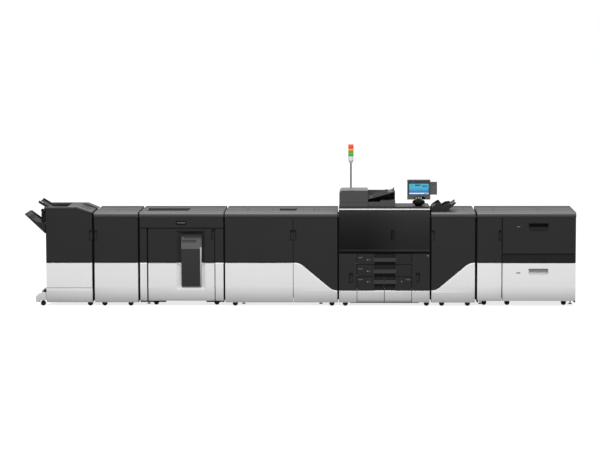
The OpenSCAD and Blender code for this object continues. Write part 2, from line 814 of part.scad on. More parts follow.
scanner_x0 = engine_x + 6;
scanner_x1 = engine_x + engine_w - 12;
scanner_top_z = engine_top_z + 47;
scanner_y0 = y_front + 12;
scanner_y1 = y_front + scanner_d;
feeder_hinge_r = 14;
feeder_pin_y = scanner_y1 - 6 - feeder_hinge_r;
feeder_pin_z = scanner_top_z + seat_gap + feeder_hinge_r;
feeder_hinge_x = [scanner_x0 + 90, scanner_x0 + 580];
glass_x0 = scanner_x0 + 60;
glass_x1 = glass_x0 + 440;
module scanner_unit() {
    color(lid_grey) difference() {
        union() {
            block(engine_x, engine_x + engine_w, y_front + trim_d, scanner_y1, engine_top_z, trim_z1);
            block(scanner_x0, scanner_x1, scanner_y0, scanner_y1, trim_z1, scanner_top_z);
            for (x = feeder_hinge_x) {
                block(x - 5, x + 5, feeder_pin_y - 7, feeder_pin_y + 7, scanner_top_z - eps, feeder_pin_z);
                translate([x - 5, feeder_pin_y, feeder_pin_z]) rotate([0, 90, 0]) cylinder(r = 7, h = 10);
                translate([x - 20, feeder_pin_y, feeder_pin_z]) rotate([0, 90, 0]) cylinder(r = pin_r, h = 40);
            }
        }
        // Glass let into the top
        block(glass_x0, glass_x1, scanner_y0 + 70, scanner_y0 + 380, scanner_top_z - 2, scanner_top_z + eps);
        // Hatch line round the console's foot
        block(console_x - 150, console_x - 147, scanner_y0 + 20, scanner_y1 - 40,
            scanner_top_z - 2, scanner_top_z + eps);
    }
}

// ---------- cassettes ----------

// A cassette front with its channel and grip bar, and the tray behind it
channel_x0 = bay_mid_x - 118;
channel_x1 = bay_mid_x + 128;
channel_d = 22;
bar_t = 16;
bar_over = 13;
module cassette(x0, x1, z0, z1, bar_z0) {
    in_x0 = max(x0 + reveal, channel_x0);
    in_x1 = min(x1 - reveal, channel_x1);
    bar_x0 = in_x0 == channel_x0 ? channel_x0 - bar_over : x0 + reveal;
    bar_x1 = in_x1 == channel_x1 ? channel_x1 + bar_over : x1 - reveal;
    box_x0 = x0 + run_gap;
    box_x1 = x1 - run_gap;
    box_y0 = y_front + door_t - eps;
    box_z0 = z0 + 12;
    box_z1 = z1 - 16;
    difference() {
        union() {
            difference() {
                front_slab(x0 + reveal, x1 - reveal, z0 + reveal, z1 - reveal);
                block(in_x0, in_x1, y_front - eps, y_front + channel_d, z0, z1);
            }
            block(bar_x0, bar_x1, y_front - bar_proud, y_front - bar_proud + bar_t, bar_z0, bar_z0 + bar_h);
            if (in_x1 != channel_x1)
                block(x1 - reveal - 14, x1 - reveal, y_front, y_front + channel_d, bar_z0, bar_z0 + bar_h);
            if (in_x0 != channel_x0)
                block(x0 + reveal, x0 + reveal + 14, y_front, y_front + channel_d, bar_z0, bar_z0 + bar_h);
            block(box_x0, box_x1, box_y0, cab_y0 + cassette_d, box_z0, box_z1);
        }
        block(box_x0 + tray_wall, box_x1 - tray_wall, y_front + door_t, cab_y0 + cassette_d - tray_wall,
            box_z0 + tray_wall, box_z1 + eps);
    }
}

cassette_z = [low_belt_z + 2, low_belt_z + 170, low_belt_z + 314, engine_low_z1 + 2];
cassette_bar_z = [low_belt_z + 81, low_belt_z + 208, low_belt_z + 348];
bar_h = 46;
module cassette_1() {
    color(dark) cassette(bay_x0, bay_x1, cassette_z[2], cassette_z[3], cassette_bar_z[2]);
}
module cassette_2() {
    color(dark) cassette(bay_x0, bay_x1, cassette_z[1], cassette_z[2], cassette_bar_z[1]);
}
module cassette_3() {
    color(dark) cassette(bay_x0, bay_mid_x, cassette_z[0], cassette_z[1], cassette_bar_z[0]);
}
module cassette_4() {
    color(dark) cassette(bay_mid_x, bay_x1, cassette_z[0], cassette_z[1], cassette_bar_z[0]);
}

// ---------- top of the engine ----------

adf_x0 = scanner_x0;
adf_x1 = adf_x0 + 670;
adf_head_x1 = adf_x0 + 342;
adf_y0 = y_front + 22;
adf_y1 = feeder_pin_y + feeder_hinge_r;
adf_z0 = scanner_top_z + seat_gap;
adf_base_z = adf_z0 + 54;
adf_top_z = scanner_top_z + feeder_head_h;
module document_feeder() {
    color([0.3, 0.3, 0.3]) difference() {
        union() {
            along_y(adf_y0, adf_y1) rect_round_top(adf_x0, adf_head_x1, adf_z0, adf_top_z, 40, 4);
            block(adf_head_x1 - eps, adf_x1, adf_y0 + 12, adf_y1, adf_z0, adf_base_z);
            along_y(adf_y0 + 2, adf_y1) rect_round_top(adf_x1 - 182, adf_x1, adf_z0, adf_base_z + 18, 12, 6);
            block(adf_head_x1 - eps, adf_x1, adf_y1 - 46, adf_y1, adf_base_z - eps, adf_top_z - 26);
            block(adf_x1 - 12, adf_x1, adf_y1 - 300, adf_y1, adf_base_z, adf_top_z - 26);
        }
        // Lower rear edge, rounded about the hinge pins
        along_x(adf_x0 - eps, adf_x1 + eps) difference() {
            rect(feeder_pin_y, adf_y1 + eps, adf_z0 - eps, feeder_pin_z);
            translate([feeder_pin_y, feeder_pin_z]) circle(r = feeder_hinge_r);
        }
        for (x = feeder_hinge_x) {
            block(x - 8, x + 8, feeder_pin_y - 10, adf_y1 + eps, adf_z0 - eps, feeder_pin_z + 10);
            translate([x - 21, feeder_pin_y, feeder_pin_z]) rotate([0, 90, 0])
                cylinder(r = pin_r + bore_gap, h = 42);
        }
    }
}

// Sloping sheet tray of the document feeder, with its side guides
module document_tray() {
    rise = 88;
    z = adf_top_z - 108;
    x0 = adf_head_x1 + seat_gap;
    x1 = adf_x1 - 12 - seat_gap;
    color([0.36, 0.36, 0.36]) union() {
        along_y(adf_y0 + 20, adf_y1 - 46 - seat_gap)
            polygon([[x0, z], [x1, z + rise], [x1, z + rise + 14], [x0, z + 14]]);
        for (y = [adf_y0 + 60, adf_y1 - 140])
            along_y(y, y + 12) polygon([
                [x0 + 30, z + 10], [x1 - 60, z + rise - 24], [x1 - 80, z + rise + 12], [x0 + 60, z + 46]
            ]);
        along_y(adf_y0 + 150, adf_y1 - 180)
            polygon([[x1 - 26, z + rise], [x1, z + rise + 4], [x1, z + rise + 40], [x1 - 8, z + rise + 40]]);
    }
}

// Operator console on its domed neck
console_x = engine_x + 959;
console_y = y_front + 155;
console_z = scanner_top_z + 75;
console_t = 46;
console_pin_r = 8;
console_pin_y = console_y + 24;
console_pin_z = console_z + 34;
module console_neck() {
    color(black) {
        translate([console_x, console_y, scanner_top_z]) {
            rotate_extrude() polygon([
                [0, 0], [36, 0], [44, 8], [60, 26], [76, 44], [76, 54], [60, 68], [52, 70], [0, 70]
            ]);
        }
        block(console_x - 17, console_x + 17, console_pin_y - 14, console_pin_y + 22,
            scanner_top_z + 66, console_pin_z);
        translate([console_x - 17, console_pin_y, console_pin_z]) rotate([0, 90, 0]) cylinder(r = 14, h = 34);
        translate([console_x - 40, console_pin_y, console_pin_z]) rotate([0, 90, 0])
            cylinder(r = console_pin_r, h = 80);
    }
}

reader_w = 81;
module console_housing() {
    x0 = console_x - console_w / 2;
    x1 = x0 + console_w;
    y1 = console_pin_y - 22;
    y0 = y1 - console_t;
    z0 = console_z + 2;
    z1 = z0 + console_h;
    color(steel_grey) difference() {
        union() {
            block(x0, x1, y0, y1, z0, z1);
            // Card reader at the side
            block(x1 - eps, x1 + reader_w, y0 + 12, y0 + 38, z0 + 58, z0 + 212);
            // Ears that carry the pin
            for (s = [-1, 1]) {
                e0 = console_x + (s < 0 ? -38 : 24);
                block(e0, e0 + 14, y1 - eps, console_pin_y, console_pin_z - 14, console_pin_z + 14);
                translate([e0, console_pin_y, console_pin_z]) rotate([0, 90, 0]) cylinder(r = 14, h = 14);
            }
        }
        translate([console_x - 60, console_pin_y, console_pin_z]) rotate([0, 90, 0])
            cylinder(r = console_pin_r + bore_gap, h = 120);
        block(x0 + 20, x1 - 18, y0 - eps, y0 + 6, z0 + 62, z1 - 24);
    }
}

module console_screen() {
    x0 = console_x - console_w / 2;
    y0 = console_pin_y - 22 - console_t;
    z0 = console_z + 2;
    color([0.2, 0.5, 0.75])
        block(x0 + 20, x0 + console_w - 18, y0 + 2, y0 + 6, z0 + 62, z0 + console_h - 24);
}

// Signal tower at the rear of the engine
mast_x = engine_x + 142;
mast_y = y_front + 800;
mast_r = 11;
lamp_r = 33;
lamp_h = 49;
lamp_stack_z = signal_z - 3 * lamp_h - 6;
module signal_mast() {
    color(light) translate([mast_x, mast_y, 0]) {
        translate([0, 0, engine_top_z]) cylinder(r = 34, h = 8);
        translate([0, 0, engine_top_z]) cylinder(r = mast_r, h = lamp_stack_z - 80 - engine_top_z);
        translate([0, 0, lamp_stack_z - 86]) cylinder(r1 = 16, r2 = 33, h = 34);
        translate([0, 0, lamp_stack_z - 52]) cylinder(r = 33, h = 52);
        translate([0, 0, lamp_stack_z]) cylinder(r = 10, h = signal_z - lamp_stack_z - 6);
        translate([0, 0, signal_z - 6]) cylinder(r1 = 33, r2 = 28, h = 6);
    }
}

module signal_lamps() {
    color("red") for (k = [0:2])
        translate([mast_x, mast_y, lamp_stack_z + seat_gap + k * lamp_h]) difference() {
            cylinder(r = lamp_r, h = lamp_h - seat_gap);
            translate([0, 0, -eps]) cylinder(r = 10 + seat_gap, h = lamp_h + 2 * eps);
        }
}

// ---------- bypass unit ----------

module bypass_cabinet() {
    color(dark) cabinet_shell(bypass_x, bypass_x + bypass_w, cab_y1, lid_z0);
}

module bypass_sweep() {
    translate([bypass_sweep_x, 0, 0]) mirror([1, 0, 0]) children();
}

module bypass_door_upper() {
    x0 = bypass_sweep_x - bypass_door[1] - eps;
    x1 = bypass_sweep_x - bypass_door[0] + eps;
    color(dark) difference() {
        front_slab(bypass_door[0], bypass_door[1], skirt_z, door_top_z);
        bypass_sweep() {
            along_y(y_front - eps, y_front + door_t + eps) sweep_light(x0, x1);
            sweep_bevel(x0, x1, 1);
        }
        hinge_cuts(bypass_door);
        edge_grip(bypass_door);
    }
}

module bypass_door_lower() {
    x0 = bypass_sweep_x - bypass_door[1] - eps;
    x1 = bypass_sweep_x - bypass_door[0] + eps;
    color(light) difference() {
        intersection() {
            front_slab(bypass_door[0], bypass_door[1], skirt_z, belt_z);
            bypass_sweep() along_y(y_front - eps, y_front + door_t + eps) sweep_light(x0, x1);
        }
        bypass_sweep() sweep_bevel(x0, x1, -1);
        hinge_cuts(bypass_door);
    }
}

// Multi-sheet bypass: two cheeks, the feed head between them, and the raised sheet tray
feed_y0 = y_front + 90;
feed_y1 = feed_y0 + 430;
cheek_t = 14;
module bypass_feed_tray() {
    x = bypass_x - 4;
    z = lid_z;
    cheek = [
        [10, 0], [-2, 12], [16, 58], [38, 76], [86, 108], [98, 112], [110, 106], [140, 66], [183, 92],
        [235, 98], [247, 87], [296, 116], [308, 108], [265, 70], [214, 26], [182, 0]
    ];
    color(dark) union() {
        for (y = [feed_y0, feed_y1 - cheek_t])
            along_y(y, y + cheek_t) translate([x, z]) polygon(cheek);
        along_y(feed_y0 + cheek_t - eps, feed_y1 - cheek_t + eps) translate([x, z])
            polygon([[10, 0], [0, 12], [18, 54], [58, 74], [96, 52], [120, 30], [120, 0]]);
        along_y(feed_y0 + cheek_t - eps, feed_y1 - cheek_t + eps) translate([x, z])
            polygon([[112, 16], [284, 104], [296, 98], [130, 2]]);
    }
}

// ---------- paper feeder ----------

deck_x0 = feeder_x + feeder_post_w;
deck_x1 = feeder_x + feeder_w;
strip_z0 = belt_z + 6;
strip_z1 = strip_z0 + 95;
deck_z = [high_skirt_z, belt_z, strip_z1 + 6, door_top_z];
deck_side = 26;
module feeder_cabinet() {
    color(dark) difference() {
        cabinet_shell(feeder_x, feeder_x + feeder_w, cab_y1, lid_z0);
        for (k = [0, 2])
            block(deck_x0 + deck_side - run_gap - 14, deck_x1 - deck_side + run_gap + 14, cab_y0 - eps,
                cab_y0 + drawer_d + 20, max(deck_z[k], floor_pan_z) + 16, deck_z[k + 1] - 20);
    }
}

module feeder_door_upper() {
    color(dark) difference() {
        plain_door_upper(feeder_door);
        edge_grip(feeder_door);
    }
}

module feeder_door_lower() {
    corner_r = 26;
    color(light) difference() {
        plain_door_lower(feeder_door);
        along_y(y_front - eps, y_front + door_t + eps) translate([feeder_door[0], feeder_door[2]]) polygon([
            [-eps, -eps], [-eps, corner_r], [0, corner_r], [corner_r * 0.15, corner_r * 0.5],
            [corner_r * 0.5, corner_r * 0.15], [corner_r, 0], [corner_r, -eps]
        ]);
    }
}

// A feeder drawer: front with a level grip, and an open tray behind it
deck_grip_x = deck_x0 + 323;
deck_grip_w = 226;
module feeder_drawer(z0, z1, grip_z0) {
    x0 = deck_x0 + deck_side;
    x1 = deck_x1 - deck_side;
    tray_z0 = max(z0, floor_pan_z) + 34;
    tray_z1 = z1 - 60;
    difference() {
        union() {
            front_slab(deck_x0 + reveal, deck_x1 - reveal, z0, z1);
            block(x0, x1, y_front + door_t - eps, cab_y0 + drawer_d, tray_z0, tray_z1);
        }
        block(x0 + tray_wall, x1 - tray_wall, y_front + door_t, cab_y0 + drawer_d - tray_wall,
            tray_z0 + tray_wall, tray_z1 + eps);
        along_x(deck_grip_x, deck_grip_x + deck_grip_w) polygon([
            [y_front - 20, grip_z0], [y_front, grip_z0], [y_front + 28, grip_z0 + 12],
            [y_front + 28, grip_z0 + 52], [y_front, grip_z0 + 52], [y_front - 20, grip_z0 + 52]
        ]);
    }
}

module feeder_upper_drawer() {
    color(dark) difference() {
        feeder_drawer(deck_z[2], deck_z[3], deck_z[3] - 122);
        along_x(deck_grip_x + 14, deck_grip_x + deck_grip_w - 14)
            translate([y_front, deck_z[3] - 150]) rotate(45) square(6, center = true);
    }
}

module feeder_lower_drawer() {
    color(light) difference() {
        feeder_drawer(deck_z[0], deck_z[1], belt_z - 134);
        level_groove(deck_x0, deck_x1, belt_z);
    }
}

// ---------- shared nodes ----------

module unit_lids() {
    color(lid_grey) {
        difference() {
            lid_bar(relay_x, relay_x + relay_w);
            lid_groove(relay_x + relay_w / 2);
        }
        difference() {
            lid_bar(dryer_x, dryer_x + dryer_w);
            lid_well(dryer_x + 640, dryer_x + 862, y_front + 270, y_front + 560, 30);
            for (dx = [262, 560, 1070, 1120]) lid_groove(dryer_x + dx);
        }
        difference() {
            lid_bar(bypass_x, bypass_x + bypass_w);
            lid_groove(bypass_x + bypass_w - 120);
        }
        difference() {
            lid_bar(feeder_x, feeder_x + feeder_w);
            for (dx = [206, 740]) lid_groove(feeder_x + dx);
        }
    }
}

// Dark fixed fronts: the stacker's upper posts and the feeder's middle strip
module dark_fascias() {
    color(dark) {
        for (x = [stacker_x, stacker_door[1] + 2 * reveal]) {
            w = x == stacker_x ? stacker_post_w : stacker_x + stacker_w - x;
            difference() {
                front_slab(x + reveal, x + w - reveal, belt_z, stacker_door_top);
                level_groove(x, x + w, belt_z);
            }
            block(x + reveal, x + w - reveal, y_front + door_t, cab_y0, belt_z, stacker_door_top);
        }
        difference() {
            front_slab(deck_x0 + reveal, deck_x1 - reveal, strip_z0, strip_z1);
            translate([deck_x0 + 513, y_front - eps, strip_z0 + 28]) rotate([-90, 0, 0]) cylinder(r = 9, h = 12);
        }
        block(deck_x0 + reveal, deck_x1 - reveal, y_front + door_t, cab_y0, strip_z0, strip_z1);
    }
}

// Light fixed fronts: the finisher's kick panel, the stacker's lower posts and the engine's plinth
module light_fascias() {
    plinth_x = [
        engine_x, engine_x + engine_side_w, bay_mid_x, engine_x + engine_w - engine_side_w,
        engine_x + engine_w
    ];
    color(light) {
        difference() {
            front_slab(finisher_x + reveal, finisher_x + finisher_w - reveal, skirt_z, toe_z - 8);
            block(finisher_x, finisher_x + finisher_w, y_front - eps, y_front + 3, toe_z - 11, toe_z);
        }
        block(finisher_x + reveal, finisher_x + finisher_w - reveal, y_front + door_t, cab_y0,
            floor_pan_z, toe_z - 8);
        for (x = [stacker_x, stacker_door[1] + 2 * reveal]) {
            w = x == stacker_x ? stacker_post_w : stacker_x + stacker_w - x;
            difference() {
                front_slab(x + reveal, x + w - reveal, high_skirt_z, belt_z);
                level_groove(x, x + w, belt_z);
            }
            block(x + reveal, x + w - reveal, y_front + door_t, cab_y0, floor_pan_z, belt_z);
        }
        for (k = [0:3]) {
            difference() {
                front_slab(plinth_x[k] + reveal, plinth_x[k + 1] - reveal, skirt_z, low_belt_z - 2);
                level_groove(plinth_x[k], plinth_x[k + 1], low_belt_z);
            }
            block(plinth_x[k] + reveal, plinth_x[k + 1] - reveal, y_front + door_t, cab_y0,
                floor_pan_z, low_belt_z - 2);
        }
    }
}

// One rear panel per unit, with a row of vent slots on the larger units
rear_cover_t = 6;
rear_cover_in = 44;
slot_pitch = 24;
module rear_panel(x0, x1, y, z1, slots) {
    slot_z1 = z1 - 160;
    split_z = slot_z1 - slot_pitch * slots - 40;
    difference() {
        union() {
            block(x0 + reveal, x1 - reveal, y, y + rear_t - rear_cover_t, skirt_z, z1);
            // Two service covers stand out from the panel
            block(x0 + rear_cover_in, x1 - rear_cover_in, y + rear_t - rear_cover_t - eps, y + rear_t,
                skirt_z + 40, split_z - 14);
            block(x0 + rear_cover_in, x1 - rear_cover_in, y + rear_t - rear_cover_t - eps, y + rear_t,
                split_z, z1 - 70);
        }
        for (k = [0:1:slots - 1])
            block(x0 + 90, x1 - 90, y + 8, y + rear_t + eps, slot_z1 - 10 - slot_pitch * k,
                slot_z1 - slot_pitch * k);
        // Finger recesses in the edge of the lower cover
        for (x = [x0 + rear_cover_in + 60, x1 - rear_cover_in - 120])
            block(x, x + 60, y + rear_t - rear_cover_t - 8, y + rear_t + eps, split_z - 40, split_z - 13);
    }
}

module rear_panels() {
    color(dark) {
        for (x = hood_hinge_x) rear_pin(x, hood_pin_y, hood_pin_z, cab_y1 + eps);
        rear_panel(finisher_x, finisher_x + finisher_w, finisher_y1, finisher_body_z, 0);
        rear_panel(relay_x, relay_x + relay_w, cab_y1, lid_z + rear_lip, 3);
        rear_panel(stacker_x, stacker_x + stacker_w, cab_y1, lid_z + rear_lip, 3);
        rear_panel(dryer_x, dryer_x + dryer_w, cab_y1, lid_z + rear_lip, 8);
        rear_panel(engine_x, engine_x + engine_w, cab_y1, engine_top_z, 8);
        rear_panel(bypass_x, bypass_x + bypass_w, cab_y1, lid_z + rear_lip, 3);
        rear_panel(feeder_x, feeder_x + feeder_w, cab_y1, lid_z + rear_lip, 3);
    }
}

// Rails that carry the cassettes and the feeder drawers, and the divider between the lower cassettes
rail_w = 24;
rail_h = 10;
module rail(x, side, z_top, depth) {
    x0 = side < 0 ? x : x - rail_w;
    block(x0, x0 + rail_w, cab_y0 + 10, cab_y0 + depth, z_top - rail_h, z_top);
}

module drawer_rails() {
    color(steel_grey) {
        for (k = [0, 1, 2]) {
            z = cassette_z[k] + 12 - seat_gap;
            rail(bay_x0 - 14, -1, z, bay_d);
            rail(bay_x1 + 14, 1, z, bay_d);
        }
        block(bay_mid_x - 1, bay_mid_x + 1, cab_y0 + 10, cab_y0 + bay_d, low_belt_z, cassette_z[1] - 14);
        for (s = [-1, 1])
            block(bay_mid_x + (s < 0 ? -12 : 1), bay_mid_x + (s < 0 ? -1 : 12), cab_y0 + 10, cab_y0 + bay_d,
                low_belt_z, cassette_z[0] + 12 - seat_gap);
        for (k = [0, 2]) {
            z = max(deck_z[k], floor_pan_z) + 34 - seat_gap;
            rail(deck_x0 + deck_side - run_gap - 14, -1, z, drawer_d + 20);
            rail(deck_x1 - deck_side + run_gap + 14, 1, z, drawer_d + 20);
        }
    }
}

// Tab and pin of one hinge
module hinge(door, z) {
    x = hinge_x(door);
    block(x - hinge_half, x + hinge_half, hinge_y, cab_y0, z - hinge_tab / 2, z + hinge_tab / 2);
    translate([x, hinge_y, z - hinge_tab / 2]) cylinder(r = hinge_half, h = hinge_tab);
    translate([x, hinge_y, z - pin_l / 2]) cylinder(r = pin_r, h = pin_l);
}

module door_hinges() {
    color(steel_grey) for (entry = door_hinge_list)
        for (z = [entry[1], entry[2]]) hinge(entry[0], z);
}

// Collars that couple neighbouring units round the paper path
collar_in = 46;
module docking_collars() {
    joints = [
        [relay_x - finisher_gap, relay_x, finisher_body_z - 20],
        [stacker_x - relay_gap, stacker_x, lid_z0 - 4],
        [dryer_x - stacker_gap, dryer_x, lid_z0 - 4],
        [engine_x - dryer_gap, engine_x, lid_z0 - 4],
        [bypass_x - engine_gap, bypass_x, lid_z0 - 4],
        [feeder_x - bypass_gap, feeder_x, lid_z0 - 4]
    ];
    color(black) for (j = joints)
        block(j[0], j[1], cab_y0 + collar_in, (j[1] == relay_x ? finisher_y1 : cab_y1) - collar_in,
            cab_z0 + 30, j[2]);
}

// Caster places. The stacker and the paper feeder stand on casters set further back.
front_caster_y = cab_y0 + 10;
back_set = 100;
rear_caster_y = cab_y1 - 70;
finisher_rear_y = finisher_y1 - 52;
outrigger_x = finisher_x - 44;
caster_list = concat(
    [for (y = [front_caster_y, finisher_rear_y], x = [outrigger_x, finisher_x + finisher_w - 34]) [x, y]],
    [for (y = [front_caster_y, rear_caster_y], x = [
        relay_x + 116, relay_x + relay_w - 96, dryer_x + 120, dryer_x + dryer_w - 68, engine_x + 77,
        engine_x + engine_w - 40, bypass_x + 127, bypass_x + bypass_w - 88
    ]) [x, y]],
    [for (y = [front_caster_y + back_set, rear_caster_y], x = [
        stacker_x + 184, stacker_x + stacker_w - 92, feeder_x + 90, feeder_x + 368, feeder_x + feeder_w - 134
    ]) [x, y]]
);
axle_r = 5;
module caster_wheels() {
    color(black) for (c = caster_list)
        translate([c[0], c[1], wheel_r]) rotate([90, 0, 0]) difference() {
            translate([0, 0, -wheel_w / 2]) cylinder(r = wheel_r, h = wheel_w);
            translate([0, 0, -wheel_w]) cylinder(r = axle_r + bore_gap, h = 2 * wheel_w);
        }
}

// Fork of one caster; its top plate meets the underside at z_top
fork_t = 2.5;
module caster_fork(z_top) {
    half = wheel_w / 2 + 1.5;
    plate_z = 2 * wheel_r + 2;
    for (s = [-1, 1])
        translate([s < 0 ? -half - fork_t : half, -12, wheel_r - 10])
            cube([fork_t, 24, plate_z - wheel_r + 10 + fork_t]);
    translate([-half - fork_t, -24, plate_z]) cube([2 * half + 2 * fork_t, 48, fork_t]);
    if (z_top > plate_z + fork_t)
        translate([0, 0, plate_z + fork_t - eps]) cylinder(r = 16, h = z_top - plate_z - fork_t + eps);
    translate([-half - fork_t, 0, wheel_r]) rotate([0, 90, 0]) cylinder(r = axle_r, h = 2 * (half + fork_t));
}

// Levelling feet: pad, threaded rod and nut
foot_y = cab_y0 + 210;
foot_list = [
    [stacker_x + 84, foot_y], [dryer_x + 212, foot_y], [dryer_x + dryer_w - 204, foot_y],
    [dryer_x + 212, cab_y1 - 200], [dryer_x + dryer_w - 204, cab_y1 - 200],
    [feeder_x + 50, foot_y], [feeder_x + feeder_w - 44, foot_y], [feeder_x + feeder_w - 44, cab_y1 - 200]
];
pad_r = 22;
module levelling_foot() {
    cylinder(r = pad_r, h = 8);
    cylinder(r = 7, h = floor_pan_z);
    translate([0, 0, floor_pan_z - 12]) cylinder(r = 13, h = 12, $fn = 6);
}

// Caster forks, levelling feet, and base rails that show under the stacker and the engine
base_rail_z = 34;
module undercarriage() {
    color(steel_grey) {
        for (c = caster_list)
            translate([c[0], c[1], 0]) rotate([0, 0, 90])
                caster_fork(c[0] < finisher_x ? outrigger_pan_z : floor_pan_z);
        for (f = foot_list) translate([f[0], f[1], 0]) levelling_foot();
        for (r = [
            [stacker_x + 3, stacker_x + 330, base_rail_z + 10],
            [stacker_x + stacker_w - 232, stacker_x + stacker_w - 3, base_rail_z + 10],
            [engine_x + 116, engine_x + engine_w - 112, base_rail_z]
        ])
            block(r[0] + cab_skin, r[1] - cab_skin, cab_y0 + 2, cab_y0 + 10, r[2], floor_pan_z);
    }
}

finisher_cabinet();
finisher_top_cover();
finisher_top_tray();
finisher_outrigger();
finisher_fittings();
finisher_stack_tray();
finisher_door_upper();
finisher_door_lower();
relay_cabinet();
relay_door_upper();
relay_door_lower();
stacker_cabinet();
stacker_lid();
stacker_hood_front();
stacker_door_upper();
stacker_door_lower();
stacker_column();
dryer_cabinet();
dryer_left_door_upper();
dryer_left_door_lower();
dryer_right_door_upper();
dryer_right_door_lower();
engine_cabinet();
engine_cover();
engine_left_door();
engine_right_door();
engine_trim();
cassette_1();
cassette_2();
cassette_3();
cassette_4();
scanner_unit();
document_feeder();
document_tray();
console_neck();
console_housing();
console_screen();
signal_mast();
signal_lamps();
bypass_cabinet();
bypass_door_upper();
bypass_door_lower();
bypass_feed_tray();
feeder_cabinet();
feeder_door_upper();
feeder_door_lower();
feeder_upper_drawer();
feeder_lower_drawer();
unit_lids();
dark_fascias();
light_fascias();
rear_panels();
drawer_rails();
door_hinges();
docking_collars();
caster_wheels();
undercarriage();
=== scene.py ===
"""Looks of the digital production printer row: materials, small detail pieces, floor, light and camera."""
import json
import math
from itertools import pairwise

import bmesh
import bpy
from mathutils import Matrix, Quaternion, Vector


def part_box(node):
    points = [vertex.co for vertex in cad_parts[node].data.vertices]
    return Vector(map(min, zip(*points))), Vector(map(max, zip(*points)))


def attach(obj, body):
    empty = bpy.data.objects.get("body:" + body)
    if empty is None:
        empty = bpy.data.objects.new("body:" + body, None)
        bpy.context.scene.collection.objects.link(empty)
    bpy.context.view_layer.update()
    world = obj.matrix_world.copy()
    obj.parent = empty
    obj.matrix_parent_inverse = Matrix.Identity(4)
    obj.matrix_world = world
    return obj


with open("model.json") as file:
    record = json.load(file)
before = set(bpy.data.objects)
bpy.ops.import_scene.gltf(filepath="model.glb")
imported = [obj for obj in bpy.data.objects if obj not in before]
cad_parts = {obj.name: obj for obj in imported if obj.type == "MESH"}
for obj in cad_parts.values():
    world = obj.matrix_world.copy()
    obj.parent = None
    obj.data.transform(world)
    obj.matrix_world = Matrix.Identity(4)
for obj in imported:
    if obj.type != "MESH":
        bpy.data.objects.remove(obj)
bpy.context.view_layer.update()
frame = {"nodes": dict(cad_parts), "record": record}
scene = bpy.context.scene
NODES = frame["nodes"]
OPENINGS = {o["name"]: o["box_m"] for o in frame["record"]["physics"]["openings"]}


def new_object(name, data):
    obj = bpy.data.objects.new(name, data)
    scene.collection.objects.link(obj)
    return obj


def aimed(data, place, aim, roll=0.0):
    """Object of a camera or light that looks from one place at another."""
    obj = new_object(data.name, data)
    obj.location = place
    obj.rotation_mode = "QUATERNION"
    obj.rotation_quaternion = (aim - place).to_track_quat("-Z", "Y") @ Quaternion((0, 0, 1), roll)
    return obj


def spaced(start, end, count):
    """Evenly spaced places from start to end, both included."""
    return [start + (end - start) * k / (count - 1) for k in range(count)]


# ---------- camera ----------
SENSOR = 36.0
IMAGE_W = 600
FOCAL_PX = 2396.0
ROLL = -0.0023
FRONT_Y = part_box("engine_cover")[0][1] + 0.005
AIM = Vector((0.006, FRONT_Y, 0.9818))
EYE = Vector((0.726, FRONT_Y - 28.58, 3.6218))

camera = bpy.data.cameras.new("photo_camera")
camera.sensor_width = SENSOR
camera.lens = SENSOR * FOCAL_PX / IMAGE_W
camera.clip_end = 200.0
scene.camera = aimed(camera, EYE, AIM, ROLL)


# ---------- materials ----------
def srgb(v):
    """8-bit sRGB level to linear."""
    c = v / 255.0
    return c / 12.92 if c <= 0.04045 else ((c + 0.055) / 1.055) ** 2.4


def colour(level):
    """Linear colour from one 8-bit grey level or three levels."""
    return tuple(srgb(v) for v in (level if isinstance(level, tuple) else (level,) * 3)) + (1.0,)


def times(rgba, k):
    return tuple(min(1.0, c * k) for c in rgba[:3]) + (1.0,)


